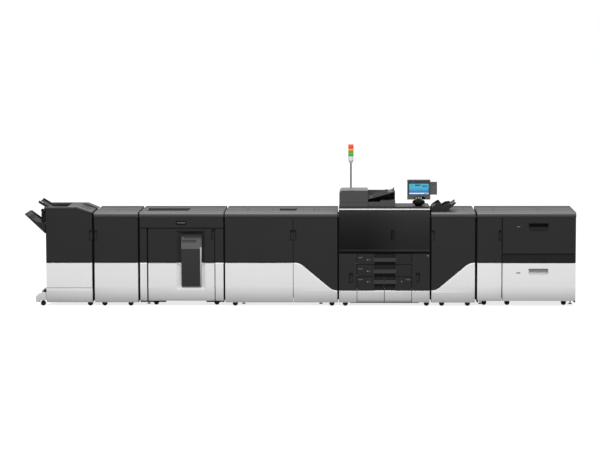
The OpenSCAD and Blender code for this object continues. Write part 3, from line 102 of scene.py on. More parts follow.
class Nodes:
    """Node tree with short ways to add nodes. What is given is linked if it is a socket, and set if it is a value."""

    def __init__(self, tree):
        self.tree = tree
        self.bsdf = tree.nodes.get("Principled BSDF")

    def feed(self, node, inputs):
        for key, value in inputs.items():
            if isinstance(value, bpy.types.NodeSocket):
                self.tree.links.new(value, node.inputs[key])
            else:
                node.inputs[key].default_value = value

    def shade(self, inputs):
        self.feed(self.bsdf, inputs)

    def add(self, kind, output, inputs, **settings):
        node = self.tree.nodes.new("ShaderNode" + kind)
        for key, value in settings.items():
            setattr(node, key, value)
        self.feed(node, inputs)
        return node.outputs[output]

    def place(self):
        return self.add("TexCoord", "Object", {})

    def along(self, vector, axis):
        return self.add("SeparateXYZ", axis, {"Vector": vector})

    def noise(self, vector, scale, detail, rough):
        return self.add("TexNoise", "Fac", {"Vector": vector, "Scale": scale, "Detail": detail, "Roughness": rough})

    def math(self, operation, *values, clamp=False):
        return self.add("Math", "Value", dict(enumerate(values)), operation=operation, use_clamp=clamp)

    def spread(self, value, low, high, start=0.0, end=1.0):
        return self.add("MapRange", "Result", {"Value": value, "From Min": start, "From Max": end, "To Min": low,
                                               "To Max": high})

    def mix(self, factor, a, b):
        return self.add("Mix", 2, {"Factor": factor, 6: a, 7: b}, data_type="RGBA")

    def bump(self, height, strength, invert=False):
        return self.add("Bump", "Normal", {"Height": height, "Strength": strength, "Distance": 0.001}, invert=invert)

    def ramp(self, factor, stops):
        node = self.tree.nodes.new("ShaderNodeValToRGB")
        elements = node.color_ramp.elements
        elements[0].position, elements[1].position = stops[0][0], stops[-1][0]
        for at, _ in stops[1:-1]:
            elements.new(at)
        for element, (_, rgba) in zip(elements, stops):
            element.color = rgba
        self.feed(node, {"Fac": factor})
        return node.outputs["Color"]

    def ladder(self, axis, stops):
        """Level that changes at given places along one axis of the frame: (place, level) pairs."""
        low, high, top = stops[0][0], stops[-1][0], max(v for _, v in stops)
        grey = self.ramp(self.spread(self.along(self.place(), axis), 0.0, 1.0, low, high),
                         [((at - low) / (high - low), (v / top,) * 3 + (1,)) for at, v in stops])
        return self.math("MULTIPLY", grey, top)

    def scaled(self, tone, level):
        return self.add("VectorMath", "Vector", {0: tone, "Scale": level}, operation="SCALE")

    def tone(self):
        """What feeds the shader's colour so far."""
        return self.bsdf.inputs["Base Color"].links[0].from_socket


def new_material(name):
    m = bpy.data.materials.new(name)
    m.use_nodes = True
    return m, Nodes(m.node_tree)


def painted(name, base, rough=0.45, bump=0.02, specular=0.5, vary=0.05, rough_vary=0.06, grain=900.0, metallic=0.0,
            dust=0.0, brushed=None, emit=0.0):
    """Painted or moulded surface: slow tone variation, fine grain in bump and roughness, dust on what looks up."""
    m, n = new_material(name)
    at = n.place()
    base = colour(base)
    tone = n.ramp(n.noise(at, 2.2, 4.0, 0.6), ((0.3, times(base, 1 - vary)), (0.7, times(base, 1 + vary))))
    fine = n.noise(n.add("Mapping", "Vector", {"Vector": at, "Scale": brushed}) if brushed else at, grain, 2.0, 0.6)
    if dust:
        up = n.along(n.add("NewGeometry", "Normal", {}), "Z")
        amount = n.math("MULTIPLY", n.math("MULTIPLY", up, n.noise(at, 38.0, 6.0, 0.7)), dust, clamp=True)
        tone = n.mix(amount, tone, (0.42, 0.42, 0.41, 1))
    n.shade({"Base Color": tone, "Roughness": n.spread(fine, max(0.02, rough - rough_vary), rough + rough_vary),
             "Metallic": metallic, "Specular IOR Level": specular})
    if bump:
        n.shade({"Normal": n.bump(fine, bump)})
    if emit:
        n.shade({"Emission Color": tone, "Emission Strength": emit})
    return m


def banded(m, axis, stops, across=None):
    """Multiplies a material's tone by a ladder along one axis, plus a second one along X."""
    n = Nodes(m.node_tree)
    level = n.ladder(axis, stops)
    if across:
        level = n.math("ADD", level, n.ladder("X", across))
    n.shade({"Base Color": n.scaled(n.tone(), level)})
    return m


# painted: name, 8-bit level or levels, roughness, bump, specular
DARK = painted("dark_paint", 38, 0.55, 0.05, 0.12)
STRIP = painted("drawer_strip", 28, 0.5, 0.05, 0.1)
# painted shade: the light panels darken towards the floor, where less light reaches them; the finisher, bypass unit and
# paper feeder are a little lighter
LIGHT_FLOOR_SHADE = ((0.0, 0.66), (0.03, 0.66), (0.088, 0.7), (0.11, 0.765), (0.148, 0.826), (0.172, 0.877), (0.22, 0.935),
              (0.25, 0.97), (0.36, 1.0), (2.0, 1.0))
FINISHER_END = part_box("finisher_cabinet")[1][0]
BYPASS_X, FEEDER_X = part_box("bypass_door_lower")[0][0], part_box("feeder_door_lower")[0][0]
LIGHT_SPAN = ((-3.31, 0.04), (FINISHER_END, 0.04), (FINISHER_END + 0.01, 0.0), (BYPASS_X - 0.02, 0.0),
              (BYPASS_X - 0.01, 0.02), (FEEDER_X - 0.02, 0.02), (FEEDER_X - 0.01, 0.055), (3.31, 0.055))
# the dish lip is a darker copy of the light paint, as painted shade on the upward slopes at the foot of the stacker's
# dish
LIGHT, DISH_LIP_SHADE = (banded(painted(name, level, 0.55, 0.03, 0.2, vary=0.012), "Z", LIGHT_FLOOR_SHADE,
                          LIGHT_SPAN) for name, level in (("light_paint", 229), ("dish_lip", 209)))
COVER_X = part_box("engine_cover")[0][0]
# painted reflection on the glossy engine cover: its tone rises towards its top and its right end, with a painted
# highlight band and a painted shade band near its foot
GLOSS_PAINTED_REFLECTION = banded(
    painted("gloss_cover", 33, 0.2, 0.0, 0.06, vary=0.03, rough_vary=0.02), "Z",
    ((0.655, 0.34), (0.668, 0.34), (0.672, 1.19), (0.683, 1.19), (0.688, 0.45), (0.7, 0.19), (0.712, 0.32),
     (0.785, 0.38), (0.88, 0.54), (0.976, 0.78), (1.048, 0.98), (1.096, 1.25), (1.12, 1.5), (1.134, 1.85),
     (1.148, 2.0)),
    ((COVER_X, 0.0), (COVER_X + 0.33, 0.0), (COVER_X + 0.78, 0.725), (COVER_X + 1.1, 0.725)))
COLUMN = painted("column_paint", 31, 0.4, 0.02, 0.15, vary=0.04)
# painted light on the lid tops: a painted highlight behind the front edge and painted shade towards the rear; the dust
# on what looks up is real
LID_PAINTED_LIGHT = banded(painted("lid_plastic", 64, 0.5, 0.08, 0.25, grain=1400.0, dust=0.02), "Y",
             ((-0.47, 0.8), (-0.449, 0.8), (-0.441, 1.66), (-0.3, 1.6), (-0.18, 0.98), (-0.1, 0.92), (0.22, 0.95),
              (0.26, 0.36), (0.46, 0.22)))
# painted light on the lid fronts: a painted shadow line near the foot and a painted highlight rising to the rounded top
# edge
LID_FRONT_PAINTED_LIGHT = banded(painted("lid_front", 64, 0.5, 0.08, 0.25, grain=1400.0), "Z",
                   ((1.06, 0.62), (1.077, 0.62), (1.081, 0.4), (1.091, 0.44), (1.097, 1.08), (1.108, 1.55),
                    (1.116, 3.2), (1.132, 3.7)))
TRAY = painted("tray_plastic", 25, 0.5, 0.02, 0.2, grain=400.0)
BLACK = painted("black_plastic", 18, 0.5, 0.06, 0.12)
DEEP = painted("shadow_black", 10, 0.7, 0.06, 0.1)
CONSOLE = painted("console_plastic", 78, 0.5, 0.08, 0.25, grain=1500.0)
FEEDER = painted("feeder_plastic", 64, 0.48, 0.08, 0.25, grain=1500.0)
HEAD = painted("column_head", 94, 0.4, 0.04, 0.3, grain=1500.0)
# a lighter copy of the feeder plastic, as a painted highlight on the feeder's upward faces
FEEDER_TOP_HIGHLIGHT = painted("feeder_top", 108, 0.45, 0.08, 0.3, grain=1500.0)
SCANNER = banded(painted("scanner_plastic", 64, 0.48, 0.08, 0.25, grain=1500.0), "Z",
                 ((1.15, 0.3), (1.201, 0.3), (1.203, 1.0), (1.25, 1.0)))
CASSETTE = painted("cassette_front", 35, 0.5, 0.05, 0.12)
CHANNEL = painted("cassette_channel", 36, 0.6, 0.05, 0.05)
BAR = painted("cassette_bar", 50, 0.45, 0.05, 0.2)
# a darker copy of the light paint, as painted shade inside the recesses of the light fronts
POCKET_SHADE = painted("light_pocket", 196, 0.5, 0.03, 0.2, vary=0.02)
TRIM = banded(painted("trim_strip", 224, vary=0.012, specular=0.25), "Z",
              ((1.15, 0.05), (1.163, 0.05), (1.1636, 1.0), (1.178, 1.0), (1.1786, 0.05), (1.2, 0.05)))
SILVER = painted("silver_strip", 205, 0.3, metallic=0.35)
STEEL = painted("plated_steel", 165, 0.32, metallic=1.0, brushed=(40, 1, 1))
GALV = painted("zinc_plate", 150, metallic=0.8, vary=0.12, bump=0.03)
RUBBER = painted("wheel_rubber", 16, 0.7, 0.1, 0.15)
GEAR = painted("running_gear", 15, 0.55, 0.06, 0.15)
LABEL, PLATE = (painted(name, level, 0.5, vary=0.03) for name, level in
                (("blank_label", 98), ("blank_plate", 80)))
BUTTON = painted("button_rim", 112, 0.4, vary=0.03)
GRIP_BACK = painted("grip_back", 44, 0.55, 0.05, 0.12)
GRIP_GLOSS = painted("grip_gloss", 26, 0.45, 0.03, 0.12)
PALE = painted("pale_plastic", 222, 0.4, 0.03, vary=0.02)
# the column's edge strip: its own light tone above the belt, and a darker copy below the belt as painted shade
STRIP_LIGHT, STRIP_SHADE = (painted(name, level, 0.35, 0.02, 0.3, vary=0.02) for name, level in
                            (("column_edge", 188), ("column_edge_low", 140)))
POLE = painted("mast_pole", 112, 0.35, 0.02, 0.3, metallic=0.2)
GREEN = painted("green_handle", (40, 120, 78), 0.4, 0.04)
LINER, LINER_LOW = (painted(name, level, 0.5, 0.06, 0.25, grain=1200.0) for name, level in
                    (("inner_plastic", 88), ("inner_cover", 74)))
GLASS = painted("platen_glass", (70, 82, 80), 0.06, 0.0, 0.6, rough_vary=0.02)
ROLLER = painted("feed_roller", (60, 62, 66), 0.6, 0.12)
CAPS = [painted("cap_" + name, level, 0.35, 0.04) for name, level in
        (("black", 26), ("cyan", (0, 130, 180)), ("magenta", (190, 30, 110)), ("yellow", (225, 190, 20)))]
KEYS = [painted("key_" + name, level, 0.3, emit=emit) for name, level, emit in
        (("amber", (240, 226, 204), 0.9), ("rose", (238, 226, 210), 0.9), ("teal", (150, 226, 212), 0.8))]
KEY_PANEL = painted("key_panel", 52, 0.5, 0.04, 0.2)

lamps_lo, lamps_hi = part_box("signal_lamps")
LENS_H = (lamps_hi[2] - lamps_lo[2]) / 3


def lens(name, base, emit, k):
    """Ribbed signal lens with a soft inner glow, with painted shade at its foot and a painted highlight at its head; k
    counts from below.
    """
    m, n = new_material(name)
    ribs = n.add("TexWave", "Fac", {"Vector": n.place(), "Scale": 42.0, "Distortion": 0.0}, bands_direction="Z")
    tone = n.ramp(ribs, ((0.0, times(colour(base), 0.82)), (1.0, colour(base))))
    z = lamps_lo[2] + k * LENS_H
    glow = n.scaled(tone, n.ladder("Z", [(z + f * LENS_H, v) for f, v in
                                         ((0, 0.35), (0.16, 0.42), (0.36, 0.9), (0.7, 1.15), (1, 1.3))]))
    n.shade({"Base Color": glow, "Emission Color": glow, "Emission Strength": emit, "Normal": n.bump(ribs, 0.5),
             "Roughness": n.spread(ribs, 0.1, 0.18)})
    return m


LENSES = [lens("lens_green", (24, 178, 58), 0.3, 0), lens("lens_amber", (226, 132, 24), 0.3, 1),
          lens("lens_red", (244, 66, 46), 0.35, 2)]


def screen_glow(name, low, high, axis, start, end, emit, spots=0.0):
    """Lit display area: a tone that runs from low to high between two places, with soft patches."""
    m, n = new_material(name)
    at = n.place()
    cloud = n.noise(at, 9.0, 3.0, 0.5)
    level = n.math("MULTIPLY_ADD", cloud, spots, n.spread(n.along(at, axis), 0.0, 1.0, start, end))
    tone = n.ramp(level, ((0.0, colour(low)), (1.0, colour(high))))
    n.shade({"Base Color": tone, "Emission Color": tone, "Emission Strength": emit,
             "Roughness": n.spread(cloud, 0.08, 0.16)})
    return m


def panelled(name, base, u, v, width, height):
    """Painted sheet metal in joined panels, with a fine seam round each."""
    m = painted(name, base, 0.48, 0.0, 0.35, vary=0.04)
    n = Nodes(m.node_tree)
    at = n.place()
    flat = n.add("CombineXYZ", "Vector", {"X": n.along(at, u), "Y": n.along(at, v)})
    seams = n.add("TexBrick", "Fac", {"Vector": flat, "Scale": 1.0, "Mortar Size": 0.0016, "Mortar Smooth": 0.3,
                                      "Brick Width": width, "Row Height": height}, offset=0.0)
    n.shade({"Base Color": n.mix(seams, n.tone(), times(colour(base), 0.25)), "Normal": n.bump(seams, 0.6, True)})
    return m


REAR = panelled("rear_sheet", 58, "X", "Z", 0.42, 0.36)
SIDE = panelled("side_sheet", 49, "Y", "Z", 0.413, 1.2)

SLOT_MATERIAL = {
    "dark_panel": DARK, "light_panel": LIGHT, "gloss_panel": GLOSS_PAINTED_REFLECTION, "lid": LID_PAINTED_LIGHT, "tray_plastic": TRAY,
    "black_plastic": BLACK, "console": CONSOLE, "screen": DEEP, "lamp": LENSES[2], "steel": STEEL, "wheel": RUBBER,
}
NODE_MATERIAL = {
    "engine_trim": TRIM, "engine_left_door": DARK, "engine_right_door": DARK, "document_feeder": FEEDER,
    "document_tray": FEEDER, "scanner_unit": SCANNER, "undercarriage": GEAR, "stacker_column": COLUMN,
    "finisher_fittings": BLACK,
}
for entry in frame["record"]["subparts"]:
    slots = NODES[entry["node"]].data.materials
    slots.clear()
    slots.append(NODE_MATERIAL.get(entry["node"], SLOT_MATERIAL[entry["material_slot"]]))


def paint_faces(name, materials, pick):
    """Gives each face of a CAD node one of several materials, chosen from its centre and normal."""
    mesh = NODES[name].data
    mesh.materials.clear()
    for m in materials:
        mesh.materials.append(m)
    for poly in mesh.polygons:
        poly.material_index = int(pick(poly.center, poly.normal))


# ---------- building pieces ----------
TO_FRONT, TO_REAR, UP = (0, -1, 0), (0, 1, 0), (0, 0, 1)


class Piece:
    """One mesh object made of several shapes, each with its own material."""

    def __init__(self, name, body="row_frame", slot=None):
        self.name, self.body, self.slot = name, body, slot
        self.bm = bmesh.new()
        self.mats = []

    def take(self, faces, material, smooth=False):
        if material not in self.mats:
            self.mats.append(material)
        for f in faces:
            f.material_index = self.mats.index(material)
            f.smooth = smooth

    def box(self, x0, x1, y0, y1, z0, z1, material, bevel=0.0):
        verts = bmesh.ops.create_cube(self.bm, size=1.0)["verts"]
        for v in verts:
            v.co = Vector(((x0 + x1) / 2 + v.co.x * (x1 - x0), (y0 + y1) / 2 + v.co.y * (y1 - y0),
                           (z0 + z1) / 2 + v.co.z * (z1 - z0)))
        if bevel:
            edges = list({e for v in verts for e in v.link_edges})
            verts = bmesh.ops.bevel(self.bm, geom=edges, offset=bevel, segments=2, profile=0.6, affect="EDGES")["verts"]
        self.take({f for v in verts for f in v.link_faces}, material)

    def border(self, x0, x1, y0, y1, z0, z1, width, material, bevel):
        """Four boxes round a front opening: lower, upper, left and right."""
        for a, b, c, d in ((x0, x1, z0, z0 + width), (x0, x1, z1 - width, z1), (x0, x0 + width, z0, z1),
                           (x1 - width, x1, z0, z1)):
            self.box(a, b, y0, y1, c, d, material, bevel)

    def prism(self, outline, plane, lo, hi, material):
        """Outline in a plane ('xz', 'yz' or 'xy') swept between two places on the third axis."""
        def at(p, t):
            return {"xz": (p[0], t, p[1]), "yz": (t, p[0], p[1]), "xy": (p[0], p[1], t)}[plane]
        a = [self.bm.verts.new(at(p, lo)) for p in outline]
        b = [self.bm.verts.new(at(p, hi)) for p in outline]
        n, new = len(a), self.bm.faces.new
        ends = [new(a), new(list(reversed(b)))]
        self.take(ends + [new((a[(i + 1) % n], a[i], b[i], b[(i + 1) % n])) for i in range(n)], material)

    def plate(self, u0, u1, v0, v1, plane, lo, hi, radius, material, steps=4):
        """Plate with rounded corners."""
        corners = ((u1 - radius, v1 - radius), (u0 + radius, v1 - radius), (u0 + radius, v0 + radius),
                   (u1 - radius, v0 + radius))
        turns = [(u, v, math.radians(90 * (i + k / steps))) for i, (u, v) in enumerate(corners)
                 for k in range(steps + 1)]
        self.prism([(u + radius * math.cos(a), v + radius * math.sin(a)) for u, v, a in turns], plane, lo, hi, material)

    def lathe(self, centre, axis, profile, material, segments=28):
        """Turned shape: profile is (radius, distance along the axis) from one end to the other."""
        centre, axis = Vector(centre), Vector(axis).normalized()
        side = axis.orthogonal().normalized()
        other = axis.cross(side)
        angles = [2 * math.pi * k / segments for k in range(segments)]
        rings = [[self.bm.verts.new(centre + axis * t + side * (r * math.cos(a)) + other * (r * math.sin(a)))
                  for a in (angles if r else [0.0])] for r, t in profile]
        faces = []
        for a, b in zip(rings, rings[1:]):
            for k in range(segments):
                n = (k + 1) % segments
                if len(a) == 1:
                    corners = (a[0], b[k], b[n])
                elif len(b) == 1:
                    corners = (a[k], b[0], a[n])
                else:
                    corners = (a[k], b[k], b[n], a[n])
                faces.append(self.bm.faces.new(corners))
        faces += [self.bm.faces.new(ring) for ring in (rings[0], rings[-1]) if len(ring) > 1]
        self.take(faces, material, True)

    def screw(self, centre, axis, r, h):
        self.lathe(centre, axis, [(0, h * 0.4), (r * 0.45, h * 0.4), (r * 0.5, h), (r * 0.85, h), (r, h * 0.5),
                                  (r, -0.0005), (0, -0.0005)], STEEL, 12)

    def done(self, bevel=0.0):
        bmesh.ops.recalc_face_normals(self.bm, faces=self.bm.faces)
        mesh = bpy.data.meshes.new(self.name)
        self.bm.to_mesh(mesh)
        self.bm.free()
        for m in self.mats:
            mesh.materials.append(m)
        obj = new_object(self.name, mesh)
        if bevel:
            soft_edges(obj, bevel, 40)
        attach(obj, self.body)


def soft_edges(obj, width, angle):
    mod = obj.modifiers.new("soft_edges", "BEVEL")
    mod.width = width
    mod.segments = 2
    mod.limit_method = "ANGLE"
    mod.angle_limit = math.radians(angle)


# ---------- faces of the CAD pieces ----------
UNITS = ("finisher", "relay", "stacker", "dryer", "engine", "bypass", "feeder")
DOORS = [unit + "_door" for unit in ("finisher", "relay", "stacker", "dryer_left", "dryer_right", "bypass", "feeder")]
BACK_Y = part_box("relay_door_upper")[1][1]  # back of the doors
CAB_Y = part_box("relay_cabinet")[0][1]  # front of the cabinets behind them
CAB_IN = CAB_Y + 0.0003  # foot of the fittings, a little inside the cabinets
DOOR_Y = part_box("relay_door_upper")[0][1]  # face of the doors
DOOR_IN = DOOR_Y + 0.0005  # foot of the small plates, a little inside the doors
LID_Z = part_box("unit_lids")[1][2]
BELT_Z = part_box("relay_door_upper")[0][2]


def in_opening(c, box, pad, front, depth):
    """Whether a place lies in a recess of the fronts: padded box in x and z, and a range of depths in y."""
    return all(box[0][i] - pad < c[i] < box[1][i] + pad for i in (0, 2)) and DOOR_Y + front < c[1] < DOOR_Y + depth


# painted shade: the faces inside the lower drawer's grip take the darker copy of the light paint
paint_faces("feeder_lower_drawer", [LIGHT, POCKET_SHADE],
            lambda c, n: in_opening(c, OPENINGS["feeder_lower_grip"], 0.01, 0.0005, 0.04))
# painted shade in the grip recesses: their walls get the shadow black, their backs a tone of their own (the shadow
# black for the feeder's upper grip and the hood latch)
grips = [(unit + "_door_grip", unit + "_door_upper", GRIP_BACK) for unit in
         ("finisher", "relay", "stacker", "bypass", "feeder")]
for side in ("left", "right"):
    grips += [("dryer_%s_grip" % side, "dryer_%s_door_upper" % side, GRIP_BACK),
              ("engine_%s_grip" % side, "engine_%s_door" % side, GRIP_BACK)]
for name, node, back in grips + [("engine_cover_grip", "engine_cover", GRIP_GLOSS),
                                 ("feeder_upper_grip", "feeder_upper_drawer", DEEP),
                                 ("hood_latch", "stacker_hood_front", DEEP)]:
    def grip_face(c, n, box=OPENINGS[name]):
        return (2 if n[1] < -0.9 else 1) if in_opening(c, box, 0.006, 0.001, 0.03) else 0
    paint_faces(node, [NODES[node].data.materials[0], DEEP, back], grip_face)

feeder_door_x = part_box("feeder_door_upper")[1][0]
feeder_strip_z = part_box("feeder_upper_drawer")[0][2]
paint_faces("dark_fascias", [DARK, STRIP],
            lambda c, n: c[0] > feeder_door_x + 0.02 and BELT_Z < c[2] < feeder_strip_z - 0.001)
paint_faces("signal_lamps", LENSES, lambda c, n: max(0, min(2, int((c[2] - lamps_lo[2]) / LENS_H))))
paint_faces("signal_mast", [PALE, POLE], lambda c, n: c[2] < lamps_lo[2] - 0.086)
# painted shade: upward slopes inside the stacker door's dish take the darker dish lip copy of the light paint
paint_faces("stacker_door_lower", [LIGHT, DISH_LIP_SHADE], lambda c, n: n[2] > 0.25 and c[1] > DOOR_Y + 0.001 and n[1] < -0.1)

col_lo, col_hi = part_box("stacker_column")
HEAD_Z = col_hi[2] - 0.166  # foot of the column's lighter head
# column front: dark below the head, a lighter head, and a painted shadow over the head's top, cast by the overhang of
# the dish
COLUMN_FRONT_PAINTED_SHADOW = banded(painted("column_front", 94, 0.4, 0.03, 0.2, vary=0.03), "Z",
                      ((0.24, 0.165), (HEAD_Z - 0.0005, 0.19), (HEAD_Z + 0.0005, 1.0), (HEAD_Z + 0.118, 0.92),
                       (HEAD_Z + 0.136, 0.3), (0.862, 0.14)))


# the column's right edge strip is its light tone above the belt and painted shade below; the head's level faces, the
# walls of its slot, get black as painted shade
def column_face(c, n):
    if c[0] > col_hi[0] - 0.0175 and c[2] < HEAD_Z + 0.01:
        return 1 if c[2] > BELT_Z else 3
    return 2 if abs(n[2]) > 0.7 and HEAD_Z + 0.01 < c[2] < col_hi[2] - 0.01 else 0


# painted shade on the lids: the upward faces sunk below their top, in the wells, get the shadow black; their front
# faces get the lid fronts' material
def lid_face(c, n):
    if c[2] < LID_Z - 0.0015 and n[2] > 0.7 and c[1] > DOOR_Y + 0.03:
        return 1
    return 2 if n[1] < -0.35 and c[1] < DOOR_Y + 0.02 else 0


# painted highlight: upward faces near the feeder's top take the lighter copy of its plastic; the downward faces at its
# foot are pale
def feeder_face(c, n):
    if n[2] < -0.9 and c[2] < feeder_lo[2] + 0.002:
        return 1
    return 2 if n[2] > 0.5 and c[2] > feeder_hi[2] - 0.03 else 0


def cassette_face(c, n):
    if c[1] < DOOR_Y - 0.0005:
        return 2
    return 0.89 < c[0] < 1.15 and DOOR_Y + 0.001 < c[1] < DOOR_Y + 0.025


paint_faces("stacker_column", [COLUMN_FRONT_PAINTED_SHADOW, STRIP_LIGHT, BLACK, STRIP_SHADE], column_face)
for name in ("stacker_lid", "unit_lids"):
    paint_faces(name, [LID_PAINTED_LIGHT, DEEP, LID_FRONT_PAINTED_LIGHT], lid_face)
feeder_lo, feeder_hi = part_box("document_feeder")
paint_faces("document_feeder", [FEEDER, PALE, FEEDER_TOP_HIGHLIGHT], feeder_face)
for k in (1, 2, 3, 4):
    paint_faces("cassette_%d" % k, [CASSETTE, CHANNEL, BAR], cassette_face)
paint_faces("rear_panels", [REAR, BLACK], lambda c, n: 0)
for unit in UNITS:
    paint_faces(unit + "_cabinet", [DARK, SIDE], lambda c, n: abs(n[0]) > 0.9)

# small rounded edges on some CAD skins, so that they catch the light
for width, names in ((0.006, ("unit_lids", "stacker_lid", "finisher_top_cover")),
                     (0.003, ("light_fascias", *[door + "_lower" for door in DOORS]))):
    for name in names:
        NODES[name].modifiers.new("joined_corners", "WELD").merge_threshold = 0.00002
        soft_edges(NODES[name], width, 50)


def edge_faces(name, left=True, right=True, low=False):
    """Painted shade on a door skin: its side edges (and lower edge) get the shadow black, standing in for the shade in
    the gaps between the doors.
    """
    mesh = NODES[name].data
    mesh.materials.append(DEEP)
    lo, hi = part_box(name)
    for poly in mesh.polygons:
        n, c = poly.normal, poly.center
        at_belt = low and abs(c[2] - BELT_Z) < 0.02
        if (left and n[0] < -0.9 and c[0] < lo[0] + 0.004) or (right and n[0] > 0.9 and c[0] > hi[0] - 0.004) or \
                (at_belt and (abs(n[2]) > 0.6 or (c[1] > DOOR_Y + 0.0006 and n[1] < -0.9))):
            poly.material_index = len(mesh.materials) - 1


for door in DOORS:  # the finisher's door has no gap on its left
    edge_faces(door + "_upper", left=door != "finisher_door", low=True)
    edge_faces(door + "_lower", left=door != "finisher_door")
for name in ("feeder_upper_drawer", "feeder_lower_drawer"):
    edge_faces(name, right=False)
for name in ("engine_cover", "engine_left_door", "engine_right_door"):
    edge_faces(name)

# ---------- casters ----------
WHEEL_REACH = 0.08  # no two places of one wheel are further apart
wheels = []
for v in NODES["caster_wheels"].data.vertices:
    group = next((g for g in wheels if (g[0] - v.co).length < WHEEL_REACH), None)
    if group:
        group.append(v.co)
    else:
        wheels.append([v.co])
wheel_boxes = []
for group in wheels:
    lo, hi = (Vector([pick(p[i] for p in group) for i in range(3)]) for pick in (min, max))
    wheel_boxes.append(((lo + hi) / 2, hi - lo))
p = Piece("caster_hubs", slot="steel")
for centre, size in sorted(wheel_boxes, key=lambda w: (round(w[0][0], 3), round(w[0][1], 3))):
    r, face = size[2] / 2, size[1] / 2
    for s in (-1, 1):
        p.lathe(centre, (0, s, 0), [(r * 0.2, face - 0.001), (r * 0.2, face + 0.0004), (r * 0.34, face + 0.0009),
                                    (r * 0.6, face + 0.0009), (r * 0.66, face - 0.001)], GEAR, 20)
p.done()

# ---------- fittings behind the doors ----------
LINER_T = 0.0022
LINER_W = 0.016  # width of the liner's border


def door_liner(body, side):
    """Ribbed inner side of a door with its seal, latch strike and hinge plates; side is -1 if hinged at the left."""
    name = body.replace("left_door", "left").replace("right_door", "right") + "_liner"
    nodes = (body,) if body.startswith("engine") else (body + "_upper", body + "_lower")
    boxes = [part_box(n) for n in nodes]
    lo = [min(b[0][i] for b in boxes) for i in range(3)]
    hi = [max(b[1][i] for b in boxes) for i in range(3)]
    hinge_in, free_in = 0.048, 0.026 if body in ("engine_left_door", "engine_right_door") else 0.02
    z_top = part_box("finisher_top_cover")[0][2] - 0.02 if body == "finisher_door" else hi[2]
    z0, z1 = lo[2] + 0.03, z_top - 0.022
    x0 = lo[0] + (hinge_in if side < 0 else free_in)
    x1 = hi[0] - (free_in if side < 0 else hinge_in)
    y0, y1, w = BACK_Y - 0.0004, BACK_Y + LINER_T, LINER_W
    p = Piece(name, body)
    p.border(x0, x1, y0, y1, z0, z1, w, LINER, 0.0007)
    rows = max(2, round((z1 - z0) / 0.24))
    cols = max(1, round((x1 - x0) / 0.3))
    for z in spaced(z0, z1, rows + 1)[1:-1]:
        p.box(x0 + w, x1 - w, y0, y1 - 0.0006, z - 0.004, z + 0.004, LINER, 0.0005)
    for x in spaced(x0, x1, cols + 1)[1:-1]:
        p.box(x - 0.004, x + 0.004, y0, y1 - 0.0006, z0 + w, z1 - w, LINER, 0.0005)
    for c, d in pairwise(spaced(z0 + w, z1 - w, rows + 1)):
        for a, b in pairwise(spaced(x0 + w, x1 - w, cols + 1)):
            if b - a > 0.086 and d - c > 0.086:
                p.plate(a + 0.018, b - 0.018, c + 0.018, d - 0.018, "xz", y0, BACK_Y + 0.0009, 0.012, LINER)
    left, right = x0 + w / 2, x1 - w / 2
    free, hinge = (right, left) if side < 0 else (left, right)
    for x, half_w, half_h, dz, places in (
            (free, 0.007, 0.03, 0.02, (z0 + (z1 - z0) * 0.3, z0 + (z1 - z0) * 0.74)),
            (hinge, 0.0075, 0.028, 0.018, (z0 + 0.1, z1 - 0.1))):
        for z in places:
            p.plate(x - half_w, x + half_w, z - half_h, z + half_h, "xz", y0, y1 + 0.0002, 0.003, STEEL)
            for s in (-1, 1):
                p.screw((x, y1 + 0.0002, z + s * dz), TO_REAR, 0.004, 0.0006)
    p.done()


def knob(p, x, z, r):
    """Flat turn knob with a finger bar."""
    p.lathe((x, CAB_Y, z), TO_FRONT, [(r * 1.15, -0.0003), (r * 1.15, 0.0006), (r, 0.001), (r, 0.0018),
                                        (r * 0.9, 0.0024), (0, 0.0024)], GREEN, 24)
    p.box(x - r * 0.14, x + r * 0.14, CAB_Y - 0.0028, CAB_Y - 0.002, z - r * 0.8, z + r * 0.8, BLACK, 0.0003)


def lever(p, x, z, length, flat):
    """Green lever with a rounded end and a pin, lying or standing."""
    y0, y1, w = CAB_Y - 0.0026, CAB_IN, 0.009
    u, v = (x, z - w) if flat else (x - w, z)
    du, dv = (length, 2 * w) if flat else (2 * w, length)
    p.plate(u, u + du, v, v + dv, "xz", y0, y1, w * 0.98, GREEN)
    p.lathe((u + w, y0, v + w), TO_FRONT, [(0.005, -0.0003), (0.005, 0.0002), (0.0, 0.0003)], STEEL, 12)


def toner_cap(p, x, z, r, material):
    """Black collar with a coloured cap and a finger bar."""
    p.lathe((x, CAB_Y, z), TO_FRONT, [(r * 1.2, -0.0003), (r * 1.2, 0.0012), (r * 1.1, 0.0018), (r * 1.02, 0.0018),
                                        (r, 0.0012), (r * 0.95, 0.0012)], BLACK, 32)
    p.lathe((x, CAB_Y, z), TO_FRONT, [(r * 0.95, 0.0), (r * 0.93, 0.0022), (r * 0.8, 0.0026), (r * 0.5, 0.0022),
                                        (0, 0.0022)], material, 32)
    p.box(x - r * 0.5, x + r * 0.5, CAB_Y - 0.0029, CAB_Y - 0.002, z - r * 0.1, z + r * 0.1, material, 0.0003)


def vent(p, x, z, width, count):
    for k in range(count):
        low = z + 0.012 * k
        p.plate(x, x + width, low, low + 0.005, "xz", CAB_Y - 0.0018, CAB_IN, 0.0024, DEEP, 2)


